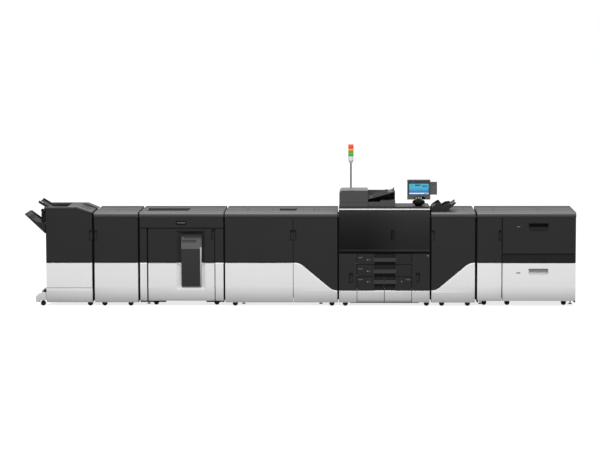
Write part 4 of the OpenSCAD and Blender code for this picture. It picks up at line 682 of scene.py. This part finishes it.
def inner_front(name, x0, x1, z0, z1, cols, rows, knobs, levers, caps, vents):
    """What shows on a cabinet when its door stands open: seal, service covers, screws, handles."""
    p = Piece(name)
    p.border(x0, x1, CAB_Y - 0.0022, CAB_IN, z0, z1, 0.006, BLACK, 0.0008)
    rim = 0.022
    x_at = lambda f: x0 + rim + (x1 - x0 - 2 * rim) * f
    z_at = lambda f: z0 + rim + (z1 - z0 - 2 * rim) * f
    for i, (a, b) in enumerate(pairwise(map(x_at, cols))):
        for j, (c, d) in enumerate(pairwise(map(z_at, rows))):
            tone = LINER_LOW if (i * 2 + j) % 3 == 1 else LINER
            p.plate(a + 0.004, b - 0.004, c + 0.004, d - 0.004, "xz", CAB_Y - 0.0014, CAB_IN, 0.006, tone)
            for u in (a + 0.016, b - 0.016):
                for v in (c + 0.016, d - 0.016):
                    p.screw((u, CAB_Y - 0.0014, v), TO_FRONT, 0.0042, 0.0008)
    for make, places in ((knob, knobs), (lever, levers), (toner_cap, caps), (vent, vents)):
        for fx, fz, *rest in places:
            make(p, x_at(fx), z_at(fz), *rest)
    p.done()


z_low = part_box("relay_cabinet")[0][2] + 0.06
z_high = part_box("relay_door_upper")[1][2] - 0.014
cover_box, engine_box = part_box("engine_cover"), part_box("engine_left_door")
# name, lower and upper end, columns, rows, knobs, levers, caps, vents
for name, z0, z1, *parts in (
        ("finisher", z_low + 0.19, z_high - 0.02, (0, 0.36, 1), (0, 0.3, 0.62, 1),
         ((0.18, 0.46, 0.02), (0.7, 0.16, 0.016)), ((0.48, 0.5, 0.1, True), (0.86, 0.7, 0.09, False)), (),
         ((0.05, 0.8, 0.1, 6),)),
        ("relay", z_low, z_high, (0, 0.62, 1), (0, 0.28, 0.55, 0.8, 1),
         ((0.3, 0.42, 0.022), (0.82, 0.66, 0.016)), ((0.12, 0.66, 0.11, True), (0.74, 0.3, 0.1, False)), (), ()),
        ("stacker", z_low + 0.02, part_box("stacker_door_upper")[1][2] - 0.014,
         (0, 0.22, 0.78, 1), (0, 0.5, 0.86, 1), ((0.11, 0.68, 0.022), (0.89, 0.68, 0.022)),
         ((0.36, 0.93, 0.12, True),), (), ((0.82, 0.12, 0.12, 8),)),
        ("dryer_left", z_low, z_high, (0, 0.3, 0.7, 1), (0, 0.34, 0.68, 1),
         ((0.15, 0.5, 0.02), (0.85, 0.5, 0.02)), ((0.42, 0.84, 0.13, True), (0.42, 0.18, 0.13, True)), (),
         ((0.06, 0.8, 0.16, 8), (0.76, 0.8, 0.16, 8))),
        ("dryer_right", z_low, z_high, (0, 0.5, 1), (0, 0.34, 0.68, 1),
         ((0.25, 0.5, 0.02),), ((0.62, 0.84, 0.1, True), (0.72, 0.42, 0.1, False)), (), ((0.08, 0.8, 0.14, 8),)),
        ("engine", cover_box[0][2] + 0.012, cover_box[1][2] - 0.016, (0, 0.18, 0.82, 1),
         (0, 0.5, 1), ((0.09, 0.3, 0.022), (0.91, 0.3, 0.022)), ((0.24, 0.88, 0.12, True), (0.64, 0.88, 0.12, True)),
         [(0.29 + 0.14 * k, 0.26, 0.042, CAPS[k]) for k in range(4)], ((0.03, 0.72, 0.1, 7), (0.87, 0.72, 0.1, 7))),
        *[("engine_" + side, engine_box[0][2] + 0.018, engine_box[1][2] - 0.016, (0, 1), (0, 0.4, 1),
           ((0.5, 0.66, 0.018),), ((0.14, 0.2, 0.08, True),), (), ()) for side in ("left", "right")],
        ("bypass", z_low, z_high, (0, 0.42, 1), (0, 0.3, 0.6, 1),
         ((0.2, 0.45, 0.02), (0.72, 0.74, 0.016)), ((0.5, 0.42, 0.11, True),), (), ((0.52, 0.1, 0.14, 7),)),
        ("feeder", z_low, z_high, (0, 1), (0, 0.32, 0.62, 1),
         ((0.4, 0.46, 0.02), (0.6, 0.76, 0.016)), ((0.2, 0.22, 0.11, True),), (), ())):
    node = next(n for n in (name + "_door_upper", name + "_door", "engine_cover") if n in NODES)
    inset = 0.026 if node == name + "_door" else 0.03
    lo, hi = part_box(node)
    inner_front(name + "_inside", lo[0] + inset, hi[0] - inset, z0, z1, *parts)

for body, side in (("finisher_door", -1), ("relay_door", 1), ("stacker_door", -1), ("dryer_left_door", -1),
                   ("dryer_right_door", 1), ("engine_cover", -1), ("engine_left_door", -1), ("engine_right_door", 1),
                   ("bypass_door", 1), ("feeder_door", -1)):
    door_liner(body, side)


# ---------- drawers and cassettes ----------
def tray_fittings(name, body, box):
    """Lift plate, side guides, end guide and size scale of a paper drawer."""
    (x0, y0, z0), (x1, y1, z1) = box
    xm = (x0 + x1) / 2
    p = Piece(name, body)
    gap, notch = 0.004, 0.06
    inset = 0.05 if x1 - x0 > 0.4 else 0.028
    p.prism([(x0 + gap, y0 + gap), (xm - notch, y0 + gap), (xm - notch + 0.012, y0 + 0.06),
             (xm + notch - 0.012, y0 + 0.06), (xm + notch, y0 + gap), (x1 - gap, y0 + gap), (x1 - gap, y1 - 0.03),
             (x0 + gap, y1 - 0.03)], "xy", z0 + 0.002, z0 + 0.0035, GALV)
    for k in range(3):  # pressed ribs in the lift plate
        x = x0 + (x1 - x0) * (0.25 + 0.25 * k)
        p.plate(x - 0.006, x + 0.006, y0 + 0.1, y1 - 0.08, "xy", z0 + 0.0033, z0 + 0.0048, 0.005, GALV)
    floor_z, guide_z = z0 + 0.0035, z0 + min(0.075, (z1 - z0) * 0.72)
    for x, x2 in ((x0 + inset, x0 + inset + 0.022), (x1 - inset, x1 - inset - 0.022)):  # side guides
        p.prism([(y0 + 0.05, floor_z), (y1 - 0.1, floor_z), (y1 - 0.13, guide_z), (y0 + 0.08, guide_z)], "yz",
                x - 0.002, x + 0.002, BLACK)
        p.plate(min(x, x2), max(x, x2), y0 + 0.12, y0 + 0.16, "xy", floor_z, z0 + 0.012, 0.006, GREEN)
    ym, end_z = y1 - 0.07, z0 + (guide_z - z0) * 0.85  # end guide
    p.prism([(xm - 0.05, floor_z), (xm + 0.05, floor_z), (xm + 0.04, end_z), (xm - 0.04, end_z)], "xz", ym, ym + 0.005,
            BLACK)
    p.plate(xm - 0.02, xm + 0.02, ym - 0.018, ym + 0.004, "xy", floor_z, z0 + 0.014, 0.006, GREEN)
    for s in (-1, 1):  # size scale on the floor, plain ticks
        for k in range(7):
            x = xm + s * (0.03 + 0.012 * k)
            p.box(x - 0.0006, x + 0.0006, y0 + 0.07, y0 + 0.078 + 0.004 * (k % 2), z0 + 0.0034, z0 + 0.0037, PALE)
    p.done()


for name, box in OPENINGS.items():
    if name in ("feeder_lower_inside", "feeder_upper_inside"):
        tray_fittings(name.replace("inside", "fittings"), name.replace("inside", "drawer"), box)
    elif name.startswith("cassette_") and name.endswith("_inside"):
        tray_fittings(name.replace("inside", "fittings"), name.replace("_inside", ""), box)


# ---------- small plates, lights and buttons on the fronts ----------
def front_label(name, body, x0, x1, z0, z1, material=LABEL):
    p = Piece(name, body)
    p.plate(x0, x1, z0, z1, "xz", DOOR_Y - 0.0007, DOOR_IN, min(x1 - x0, z1 - z0) * 0.25, material)
    p.done()


def round_mark(name, body, x, z, r, face, ring=BLACK):
    """Level dial: a raised ring round a flat disc."""
    p = Piece(name, body)
    p.lathe((x, DOOR_Y, z), TO_FRONT, [(r, -0.0005), (r, 0.001), (r * 0.92, 0.0016), (r * 0.8, 0.0016),
                                         (r * 0.74, 0.0008)], ring)
    p.lathe((x, DOOR_Y, z), TO_FRONT, [(r * 0.75, -0.0005), (r * 0.74, 0.0009), (r * 0.2, 0.0012), (0, 0.0012)], face)
    p.done()


for k, drop in ((1, 0.051), (2, 0.056), (3, 0.041)):
    body = "cassette_%d" % k
    lo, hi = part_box(body)
    z = hi[2] - drop
    front_label(body + "_plate", body, lo[0] + 0.01, lo[0] + 0.064, z + 0.001, z + 0.011, PLATE)
    round_mark(body + "_level", body, lo[0] + 0.124, z - 0.024, 0.014, LABEL)
    p = Piece(body + "_gauge", body)
    for j in range(4):
        p.plate(lo[0] + 0.146, lo[0] + 0.156, z - 0.034 + 0.006 * j, z - 0.0305 + 0.006 * j, "xz", DOOR_Y - 0.0008,
                DOOR_IN, 0.001, HEAD, 2)
    p.done()
lo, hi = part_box("cassette_4")
front_label("cassette_4_plate", "cassette_4", hi[0] - 0.066, hi[0] - 0.012, hi[2] - 0.041, hi[2] - 0.03, PLATE)
round_mark("cassette_4_level", "cassette_4", hi[0] - 0.118, hi[2] - 0.06, 0.014, LABEL)
lo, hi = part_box("engine_right_door")
round_mark("power_button", "engine_right_door", hi[0] - 0.022, hi[2] - 0.026, 0.011, BUTTON, HEAD)
up_lo, up_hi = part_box("feeder_upper_drawer")
low_lo, low_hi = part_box("feeder_lower_drawer")
front_label("feeder_upper_plate", "feeder_upper_drawer", up_lo[0] + 0.172, up_lo[0] + 0.212, up_lo[2] + 0.322,
            up_lo[2] + 0.332)
front_label("feeder_lower_plate", "feeder_lower_drawer", low_lo[0] + 0.168, low_lo[0] + 0.216, low_lo[2] + 0.334,
            low_lo[2] + 0.346, HEAD)


def gap_shade(name, body, boxes):
    """Flat strips of the shadow black along the edges of a door skin, as painted shade in the gaps and grooves between
    the parts: (x0, x1, z0, z1) each.
    """
    p = Piece(name, body, "black_plastic")
    for x0, x1, z0, z1 in boxes:
        p.plate(x0, x1, z0, z1, "xz", DOOR_Y - 0.0006, DOOR_Y + 0.0008, min(x1 - x0, z1 - z0) * 0.3, DEEP, 2)
    p.done()


# the dark line along the belt is painted shade in the groove between the upper and lower door skins
LINE = 0.0075  # height of the dark line along the belt
for unit in ("finisher", "relay", "stacker", "dryer_left", "feeder"):
    lo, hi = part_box(unit + "_door_upper")
    runs = [(lo[0] + 0.001, hi[0] - 0.001)]
    if unit == "stacker":  # its column stands across the belt
        runs = [(lo[0] + 0.001, col_lo[0] - 0.002), (col_hi[0] + 0.002, hi[0] - 0.001)]
    gap_shade(unit + "_belt_line", unit + "_door", [(x0, x1, lo[2], lo[2] + LINE) for x0, x1 in runs])
lo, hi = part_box("feeder_door_upper")
lo2, hi2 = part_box("feeder_door_lower")
gap_shade("feeder_door_seal", "feeder_door", [(hi[0] - 0.0026, hi[0] - 0.0001, lo[2], hi[2]),
                                         (hi2[0] - 0.0026, hi2[0] - 0.0001, lo2[2] + 0.028, hi2[2] - 0.003)])
gap_shade("feeder_lower_seal", "feeder_lower_drawer",
     [(low_lo[0] + 0.0001, low_lo[0] + 0.0026, low_lo[2] + 0.002, low_hi[2] - 0.003)])
gap_shade("feeder_upper_seal", "feeder_upper_drawer",
     [(up_lo[0] + 0.0001, up_lo[0] + 0.0026, up_lo[2], up_hi[2]),
      (up_lo[0] + 0.003, up_hi[0] - 0.001, up_lo[2] + 0.0005, up_lo[2] + 0.0045)])
hood_lo, hood_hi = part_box("stacker_hood_front")
gap_shade("hood_seal", "stacker_hood", [(hood_lo[0] + 0.002, hood_hi[0] - 0.002, hood_lo[2] + 0.0003, hood_lo[2] + 0.0055)])
gap_shade("feeder_strip_line", "row_frame", [(low_lo[0] + 0.001, low_hi[0] - 0.001, BELT_Z, BELT_Z + 0.005)])

# rims round the feeder drawers' grips, with painted shade: the plate over each grip stands for the shadow under its
# upper edge and the lip under it for a shade line; the lower drawer's rim takes the darker copy of the light paint
for level, low, high, rim, head, lip in (("upper", 0.929, 1.004, STRIP, DEEP, DEEP),
                                         ("lower", 0.397, 0.456, POCKET_SHADE, HEAD, POCKET_SHADE)):
    (a, _, c), (b, _, d) = OPENINGS["feeder_%s_grip" % level]
    a, b, c, d = a - 0.008, b + 0.004, c - 0.003, d + 0.003
    p = Piece("feeder_%s_rim" % level, "feeder_%s_drawer" % level)
    y0, y1 = DOOR_Y - 0.0012, DOOR_IN
    if c - low > 0.002:
        p.plate(a, b, low, c, "xz", y0, y1, min(0.01, (c - low) * 0.4), rim)
    p.plate(a, b, d, max(high, d + 0.006), "xz", y0, y1, 0.0025, head)
    for x in (a - 0.005, b):
        p.plate(x, x + 0.005, low + 0.004, high - 0.002, "xz", y0, y1, 0.0022, rim)
    p.plate(a + 0.01, b - 0.01, low - 0.014, low - 0.01, "xz", y0, y1, 0.0018, lip)
    p.done(0.0004)

# ---------- finisher ----------
top_lo, top_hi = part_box("finisher_top_cover")
tray_lo, tray_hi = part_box("finisher_stack_tray")
SIDE_X = top_lo[0]  # left side of the finisher
MOUTH_Z = tray_hi[2] - 0.088  # height of the sheet exit over the stack tray
p = Piece("exit_rollers", slot="black_plastic")
p.lathe((SIDE_X + 0.012, tray_lo[1] + 0.045, MOUTH_Z), TO_REAR, [(0.003, 0), (0.003, tray_hi[1] - tray_lo[1] - 0.09)],
        STEEL, 12)
for y in spaced(tray_lo[1] + 0.08, tray_hi[1] - 0.11, 8):
    p.lathe((SIDE_X + 0.012, y, MOUTH_Z), TO_REAR, [(0.003, 0), (0.0095, 0.001), (0.0105, 0.004), (0.0105, 0.026),
                                                      (0.0095, 0.029), (0.003, 0.03)], ROLLER, 20)
p.done()
p = Piece("exit_flaps", slot="black_plastic")
for y in (tray_lo[1] + 0.034, tray_hi[1] - 0.246):  # they press on the stack, under the sheet stops
    p.prism([(SIDE_X - dx, MOUTH_Z + dz) for dx, dz in
             ((0.002, 0.046), (0.002, 0.078), (0.05, 0.11), (0.056, 0.09), (0.052, -0.006), (0.044, -0.018),
              (0.014, -0.018), (0.006, -0.004))], "xz", y, y + 0.052, BLACK)
p.done(0.0015)
p = Piece("stack_tray_ribs", "stack_tray", "tray_plastic")
for y in spaced(tray_lo[1] + 0.09, tray_hi[1] - 0.09, 7):  # raised ribs on the sheet bed, along the slope
    x0, x1, za, zb = tray_lo[0] + 0.045, SIDE_X - 0.11, tray_hi[2] - 0.018, tray_hi[2] - 0.131
    p.prism([(x0, za - 0.0105), (x0, za - 0.0065), (x1, zb + 0.004), (x1, zb - 0.001)], "xz", y - 0.003, y + 0.003,
            TRAY)
p.done(0.0006)

# ---------- stacker ----------
p = Piece("hood_latch_bar", "stacker_hood", "black_plastic")
x, z = hood_lo[0] + 0.497, hood_lo[2]
p.plate(x - 0.052, x + 0.052, z + 0.056, z + 0.07, "xz", DOOR_Y + 0.012, DOOR_Y + 0.025, 0.005, HEAD)
p.plate(x - 0.06, x + 0.06, z + 0.042, z + 0.0445, "xz", DOOR_Y + 0.004, DOOR_Y + 0.0245, 0.001, BLACK)
p.done(0.001)
p = Piece("column_trim", "stacker_door", "gloss_panel")
p.box(col_lo[0] + 0.006, col_hi[0] - 0.06, col_lo[1] - 0.0004, col_lo[1] + 0.0012, HEAD_Z + 0.079, HEAD_Z + 0.0885,
      BLACK, 0.0004)
p.plate(col_lo[0] + 0.02, col_lo[0] + 0.026, col_hi[2] - 0.034, col_hi[2] - 0.028, "xz", col_lo[1] - 0.0006,
        col_lo[1] + 0.0004, 0.0025, PALE)
p.done()

# ---------- engine top ----------
scan_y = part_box("scanner_unit")[0][1]
SCAN_Z = feeder_lo[2] - 0.0003  # top of the scanner
x0, x1 = feeder_lo[0] + 0.06, feeder_lo[0] + 0.5
y0, y1 = scan_y + 0.07, scan_y + 0.38
p = Piece("platen_glass", slot="gloss_panel")
p.box(x0 + 0.001, x1 - 0.001, y0 + 0.001, y1 - 0.001, SCAN_Z - 0.002, SCAN_Z - 0.0004, GLASS, 0.0004)
for k in range(22):  # plain size ticks along two edges
    x = x0 + 0.012 + 0.0195 * k
    p.box(x, x + 0.0008, y1 - 0.006 - 0.004 * (k % 5 == 0), y1 - 0.002, SCAN_Z - 0.0005, SCAN_Z - 0.0003, PALE)
for k in range(15):
    y = y0 + 0.012 + 0.0195 * k
    p.box(x0 + 0.002, x0 + 0.006 + 0.004 * (k % 5 == 0), y, y + 0.0008, SCAN_Z - 0.0005, SCAN_Z - 0.0003, PALE)
p.done()

# document feeder: cover seams, lift tab, pick area, output bed
(fx0, fy0, fz0), (fx1, fy1, fz1) = feeder_lo, feeder_hi
head_x = fx0 + 0.342  # right end of the feeder's cover
p = Piece("feeder_cover_seams", "document_feeder", "black_plastic")
for y in (fy0 + 0.03, fy1 - 0.06):
    p.box(fx0 + 0.045, head_x - 0.004, y, y + 0.0025, fz1 - 0.001, fz1, DEEP)
p.box(head_x - 0.0035, head_x + 0.0008, fy0 + 0.02, fy0 + 0.03, fz1 - 0.105, fz1 - 0.045, DEEP)
p.plate(fx0 + 0.1, fx0 + 0.19, fy0 + 0.036, fy0 + 0.058, "xy", fz1 - 0.0015, fz1, 0.006, BLACK)
p.box(fx0 + 0.006, head_x - 0.006, fy0 - 0.0006, fy0 + 0.001, fz0 + 0.048, fz0 + 0.0495, DEEP)
p.done()
p = Piece("feeder_pick_area", "document_feeder", "black_plastic")
p.box(head_x - 0.002, head_x + 0.0015, fy0 + 0.034, fy1 - 0.052, fz0 + 0.1, fz0 + 0.128, DEEP, 0.0008)
for k in range(4):
    p.lathe((head_x + 0.004, fy0 + 0.12 + 0.075 * k, fz0 + 0.112), TO_REAR,
            [(0.002, 0), (0.0085, 0.001), (0.0085, 0.029), (0.002, 0.03)], ROLLER, 18)
p.done()
p = Piece("feeder_output_bed", "document_feeder", "black_plastic")
z = fz0 + 0.054
p.plate(head_x + 0.01, fx1 - 0.19, fy0 + 0.04, fy1 - 0.06, "xy", z - 0.001, z + 0.0014, 0.01, BLACK)
for k in range(9):
    y = fy0 + 0.07 + 0.038 * k
    p.plate(head_x + 0.016, fx1 - 0.2, y - 0.003, y + 0.003, "xy", z + 0.0012, z + 0.0034, 0.0028, TRAY, 2)
p.plate(fx1 - 0.176, fx1 - 0.14, fy0 + 0.2, fy0 + 0.26, "xy", z + 0.017, z + 0.0215, 0.006, BLACK)
p.done()

# console: bezel, display, keys, reader, back
ch_lo, ch_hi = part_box("console_housing")
cs_lo, cs_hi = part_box("console_screen")
CONSOLE_Y = ch_lo[1]
p = Piece("console_bezel", "console", "console")
p.border(cs_lo[0] - 0.006, cs_hi[0] + 0.006, CONSOLE_Y, CONSOLE_Y + 0.0065, cs_lo[2] - 0.006, cs_hi[2] + 0.006, 0.006,
         BLACK, 0.0008)
p.done()


def lit(name, low, high, emit):
    return screen_glow("display_" + name, low, high, "X", cs_lo[0], cs_hi[0], emit)


HEADER = lit("header", (10, 26, 24), (28, 50, 44), 0.15)
FIELD = screen_glow("display_field", (0, 82, 150), (58, 144, 166), "Z", cs_lo[2] + 0.03, cs_hi[2] - 0.06, 0.55, 0.25)
TILE = lit("tile", (30, 128, 160), (40, 140, 180), 0.5)
TILE_DARK = lit("tile_dark", (8, 70, 116), (14, 84, 132), 0.35)
FOOTER = lit("footer", (178, 200, 222), (190, 210, 230), 0.35)
MARGIN = 0.003  # of the picture inside the screen
p = Piece("display_picture", "console", "screen")
# share of the width and height, thickness, corner radius, material
for u0, u1, v0, v1, thick, r, m in (
        (0, 1, 0.85, 1, 0.0007, 0.001, HEADER), (0, 1, 0.115, 0.85, 0.0005, 0.001, FIELD),
        (0, 1, 0, 0.115, 0.0007, 0.001, FOOTER), (0.06, 0.22, 0.62, 0.74, 0.001, 0.003, TILE),
        (0.3, 0.58, 0.66, 0.8, 0.001, 0.003, TILE_DARK), (0.06, 0.4, 0.28, 0.36, 0.001, 0.003, TILE),
        (0.66, 0.94, 0.6, 0.72, 0.001, 0.003, TILE_DARK), (0.7, 0.94, 0.34, 0.5, 0.001, 0.003, TILE),
        *[(0.03 + 0.09 * i, 0.095 + 0.09 * i, 0.91, 0.965, 0.001, 0.0015, TILE_DARK) for i in range(3)],
        (0.76, 0.97, 0.025, 0.09, 0.001, 0.002, TILE)):
    x0, x1 = (cs_lo[0] + MARGIN + (cs_hi[0] - cs_lo[0] - 2 * MARGIN) * u for u in (u0, u1))
    z0, z1 = (cs_lo[2] + MARGIN + (cs_hi[2] - cs_lo[2] - 2 * MARGIN) * v for v in (v0, v1))
    p.plate(x0, x1, z0, z1, "xz", cs_lo[1] + 0.0003 - thick, cs_lo[1] + 0.0003, r, m)
p.done()

p = Piece("console_keys", "console", "console")
cx, z = ch_lo[0], ch_lo[2] + 0.0185
p.plate(cx + 0.084, cx + 0.214, z - 0.0165, z + 0.0165, "xz", CONSOLE_Y, CONSOLE_Y + 0.0018, 0.012, KEY_PANEL)
for dx, r, cap, m in ((0.108, 0.013, 0.0104, KEYS[0]), (0.137, 0.013, 0.0104, KEYS[1]), (0.166, 0.013, 0.0104, KEYS[2]),
                      (0.196, 0.012, 0.009, DEEP)):
    p.lathe((cx + dx, CONSOLE_Y, z), TO_FRONT, [(r, -0.001), (r, -0.0002), (cap, 0.0), (0, 0.0)], m, 24)
for k in range(5):
    p.lathe((cx + 0.226 + 0.006 * k, CONSOLE_Y, z), TO_FRONT, [(0.0016, -0.001), (0.0016, 0.0), (0, 0.0)], DEEP, 10)
p.done()
p = Piece("reader_face", "console", "console")
x0, x1, y, z = cx + (ch_hi[0] - cx) * 0.75, ch_hi[0], CONSOLE_Y + 0.012, ch_lo[2]
p.plate(x0 + 0.01, x1 - 0.008, z + 0.07, z + 0.204, "xz", y - 0.0016, y + 0.0005, 0.008, CONSOLE)
p.plate(x0 + 0.03, x1 - 0.03, z + 0.178, z + 0.182, "xz", y - 0.0022, y, 0.0018, DEEP)
p.lathe(((x0 + x1) / 2, y - 0.0014, z + 0.128), TO_FRONT,
        [(0.02, -0.0005), (0.02, 0.0006), (0.0175, 0.0008), (0.0175, 0.0), (0, 0.0)], HEAD)
p.done()
p = Piece("console_back", "console", "console")
y = max(v.co.y for v in NODES["console_housing"].data.vertices if v.co.z > ch_lo[2] + 0.12)
p.plate(cx + 0.03, cx + 0.237, z + 0.075, ch_hi[2] - 0.02, "xz", y - 0.001, y + 0.006, 0.014, CONSOLE)
for k in range(7):
    p.plate(cx + 0.06, cx + 0.205, z + 0.14 + 0.01 * k, z + 0.144 + 0.01 * k, "xz", y + 0.0052, y + 0.0066, 0.0018,
            DEEP, 2)
for dx in (0.045, 0.222):
    for screw_z in (z + 0.088, ch_hi[2] - 0.034):
        p.screw((cx + dx, y + 0.006, screw_z), TO_REAR, 0.004, 0.0012)
p.done()
neck_lo, neck_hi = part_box("console_neck")
p = Piece("neck_rings", slot="black_plastic")
p.lathe(((neck_lo[0] + neck_hi[0]) / 2, (neck_lo[1] + neck_hi[1]) / 2, neck_lo[2]), UP,
        [(0.0795, 0.027), (0.0805, 0.03), (0.0795, 0.033), (0.076, 0.0335), (0.076, 0.0265)], DEEP, 48)
p.done()

# signal mast: seams of the lenses, collar and screws of the foot
p = Piece("mast_rings", slot="light_panel")
x, y, foot_z = (lamps_lo[0] + lamps_hi[0]) / 2, (lamps_lo[1] + lamps_hi[1]) / 2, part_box("signal_mast")[0][2]
r = (lamps_hi[0] - lamps_lo[0]) / 2
for k in range(4):
    p.lathe((x, y, lamps_lo[2] + LENS_H * k), UP,
            [(r - 0.001, -0.0012), (r + 0.0009, -0.001), (r + 0.0009, 0.001), (r - 0.001, 0.0012)],
            BLACK if 0 < k < 3 else PALE, 40)
p.lathe((x, y, foot_z), UP, [(0.012, 0.0085), (0.0155, 0.0085), (0.0155, 0.02), (0.0115, 0.024),
                                    (0.011, 0.0085)], SILVER, 32)
for k in range(4):
    a = math.radians(45 + 90 * k)
    p.screw((x + 0.025 * math.cos(a), y + 0.025 * math.sin(a), foot_z + 0.008), UP, 0.004, 0.002)
p.done()

# ---------- bypass tray ----------
lo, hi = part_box("bypass_feed_tray")
p = Piece("bypass_tray_lines", slot="tray_plastic")
for y in spaced(lo[1] + 0.07, hi[1] - 0.07, 5):
    p.plate(lo[0] + 0.06, lo[0] + 0.15, y - 0.004, y + 0.004, "xy", LID_Z + 0.001, LID_Z + 0.004, 0.0035, BLACK, 2)
p.done()

# ---------- rear fittings ----------
REAR_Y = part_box("rear_panels")[1][1] - 0.006  # face of the panels round the service covers
for unit in UNITS[1:]:
    lo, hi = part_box(unit + "_cabinet")
    p = Piece(unit + "_rear_screws", slot="steel")
    rows = max(2, round((hi[2] - 0.2) / 0.3))
    cols = max(2, round((hi[0] - lo[0]) / 0.35))
    places = [(x, z) for x in (lo[0] + 0.024, hi[0] - 0.024) for z in spaced(lo[2] + 0.05, hi[2] - 0.11, rows + 1)]
    places += [(x, hi[2] - 0.03) for x in spaced(lo[0] + 0.05, hi[0] - 0.05, cols + 1)]
    for x, z in places:
        p.screw((x, REAR_Y, z), TO_REAR, 0.006, 0.003)
    x = (lo[0] + hi[0]) / 2  # socket plate at the foot of the panel
    p.plate(x - 0.065, x + 0.065, lo[2] + 0.0065, lo[2] + 0.0375, "xz", REAR_Y - 0.0005, REAR_Y + 0.0022, 0.004, BLACK)
    for dx in (-0.045, -0.015, 0.015, 0.045):
        p.plate(x + dx - 0.009, x + dx + 0.009, lo[2] + 0.013, lo[2] + 0.031, "xz", REAR_Y + 0.0018, REAR_Y + 0.0034,
                0.003, DEEP if dx < 0 else GALV)
    p.done()
p = Piece("finisher_rear_fittings", slot="steel")
x0, x1, y = top_lo[0], top_hi[0], top_hi[1]
for x in (x0 + 0.024, x1 - 0.024):
    for k in range(5):
        p.screw((x, y - 0.006, 0.12 + 0.22 * k), TO_REAR, 0.006, 0.003)
p.plate(x0 + 0.15, x0 + 0.4, 0.9, 1.02, "xz", y - 0.001, y + 0.004, 0.01, REAR)
for k in range(6):
    p.plate(x0 + 0.17, x0 + 0.38, 0.918 + 0.015 * k, 0.924 + 0.015 * k, "xz", y + 0.0032, y + 0.0046, 0.0028, DEEP, 2)
p.done()


# ---------- stage, light ----------
def seen(n):
    """1 for camera, glossy and transmission rays, 0 for the light that falls on the machine."""
    rays = n.tree.nodes.new("ShaderNodeLightPath").outputs
    either = n.math("MAXIMUM", rays["Is Camera Ray"], rays["Is Glossy Ray"])
    return n.math("MAXIMUM", either, rays["Is Transmission Ray"])


FLOOR = 60.0  # half the side of the floor
WHITE = (1, 1, 1, 1)
floor_mesh = bpy.data.meshes.new("floor")
floor_mesh.from_pydata([(-FLOOR, -FLOOR, 0), (FLOOR, -FLOOR, 0), (FLOOR, FLOOR, 0), (-FLOOR, FLOOR, 0)], [],
                       [(0, 1, 2, 3)])
floor = new_object("floor", floor_mesh)
m, n = new_material("floor_paper")
direct = seen(n)
n.shade({"Roughness": 0.9, "Specular IOR Level": 0.0, "Emission Color": WHITE,
         "Base Color": n.mix(direct, (0.25, 0.25, 0.25, 1), (0.5, 0.5, 0.5, 1)),
         "Emission Strength": n.math("MULTIPLY", direct, 0.8)})
floor_mesh.materials.append(m)

world = bpy.data.worlds.new("studio")
scene.world = world
world.use_nodes = True
n = Nodes(world.node_tree)
n.feed(world.node_tree.nodes["Background"], {"Color": WHITE, "Strength": n.spread(seen(n), 0.5, 1.0)})

light = bpy.data.lights.new("main", "AREA")
light.shape = "RECTANGLE"
light.size, light.size_y = 12.0, 3.0
light.energy = 1100.0
aimed(light, Vector((0.0, -6.5, 8.5)), Vector((0.0, -0.4, 0.6)))
scene.view_settings.view_transform = "Standard"
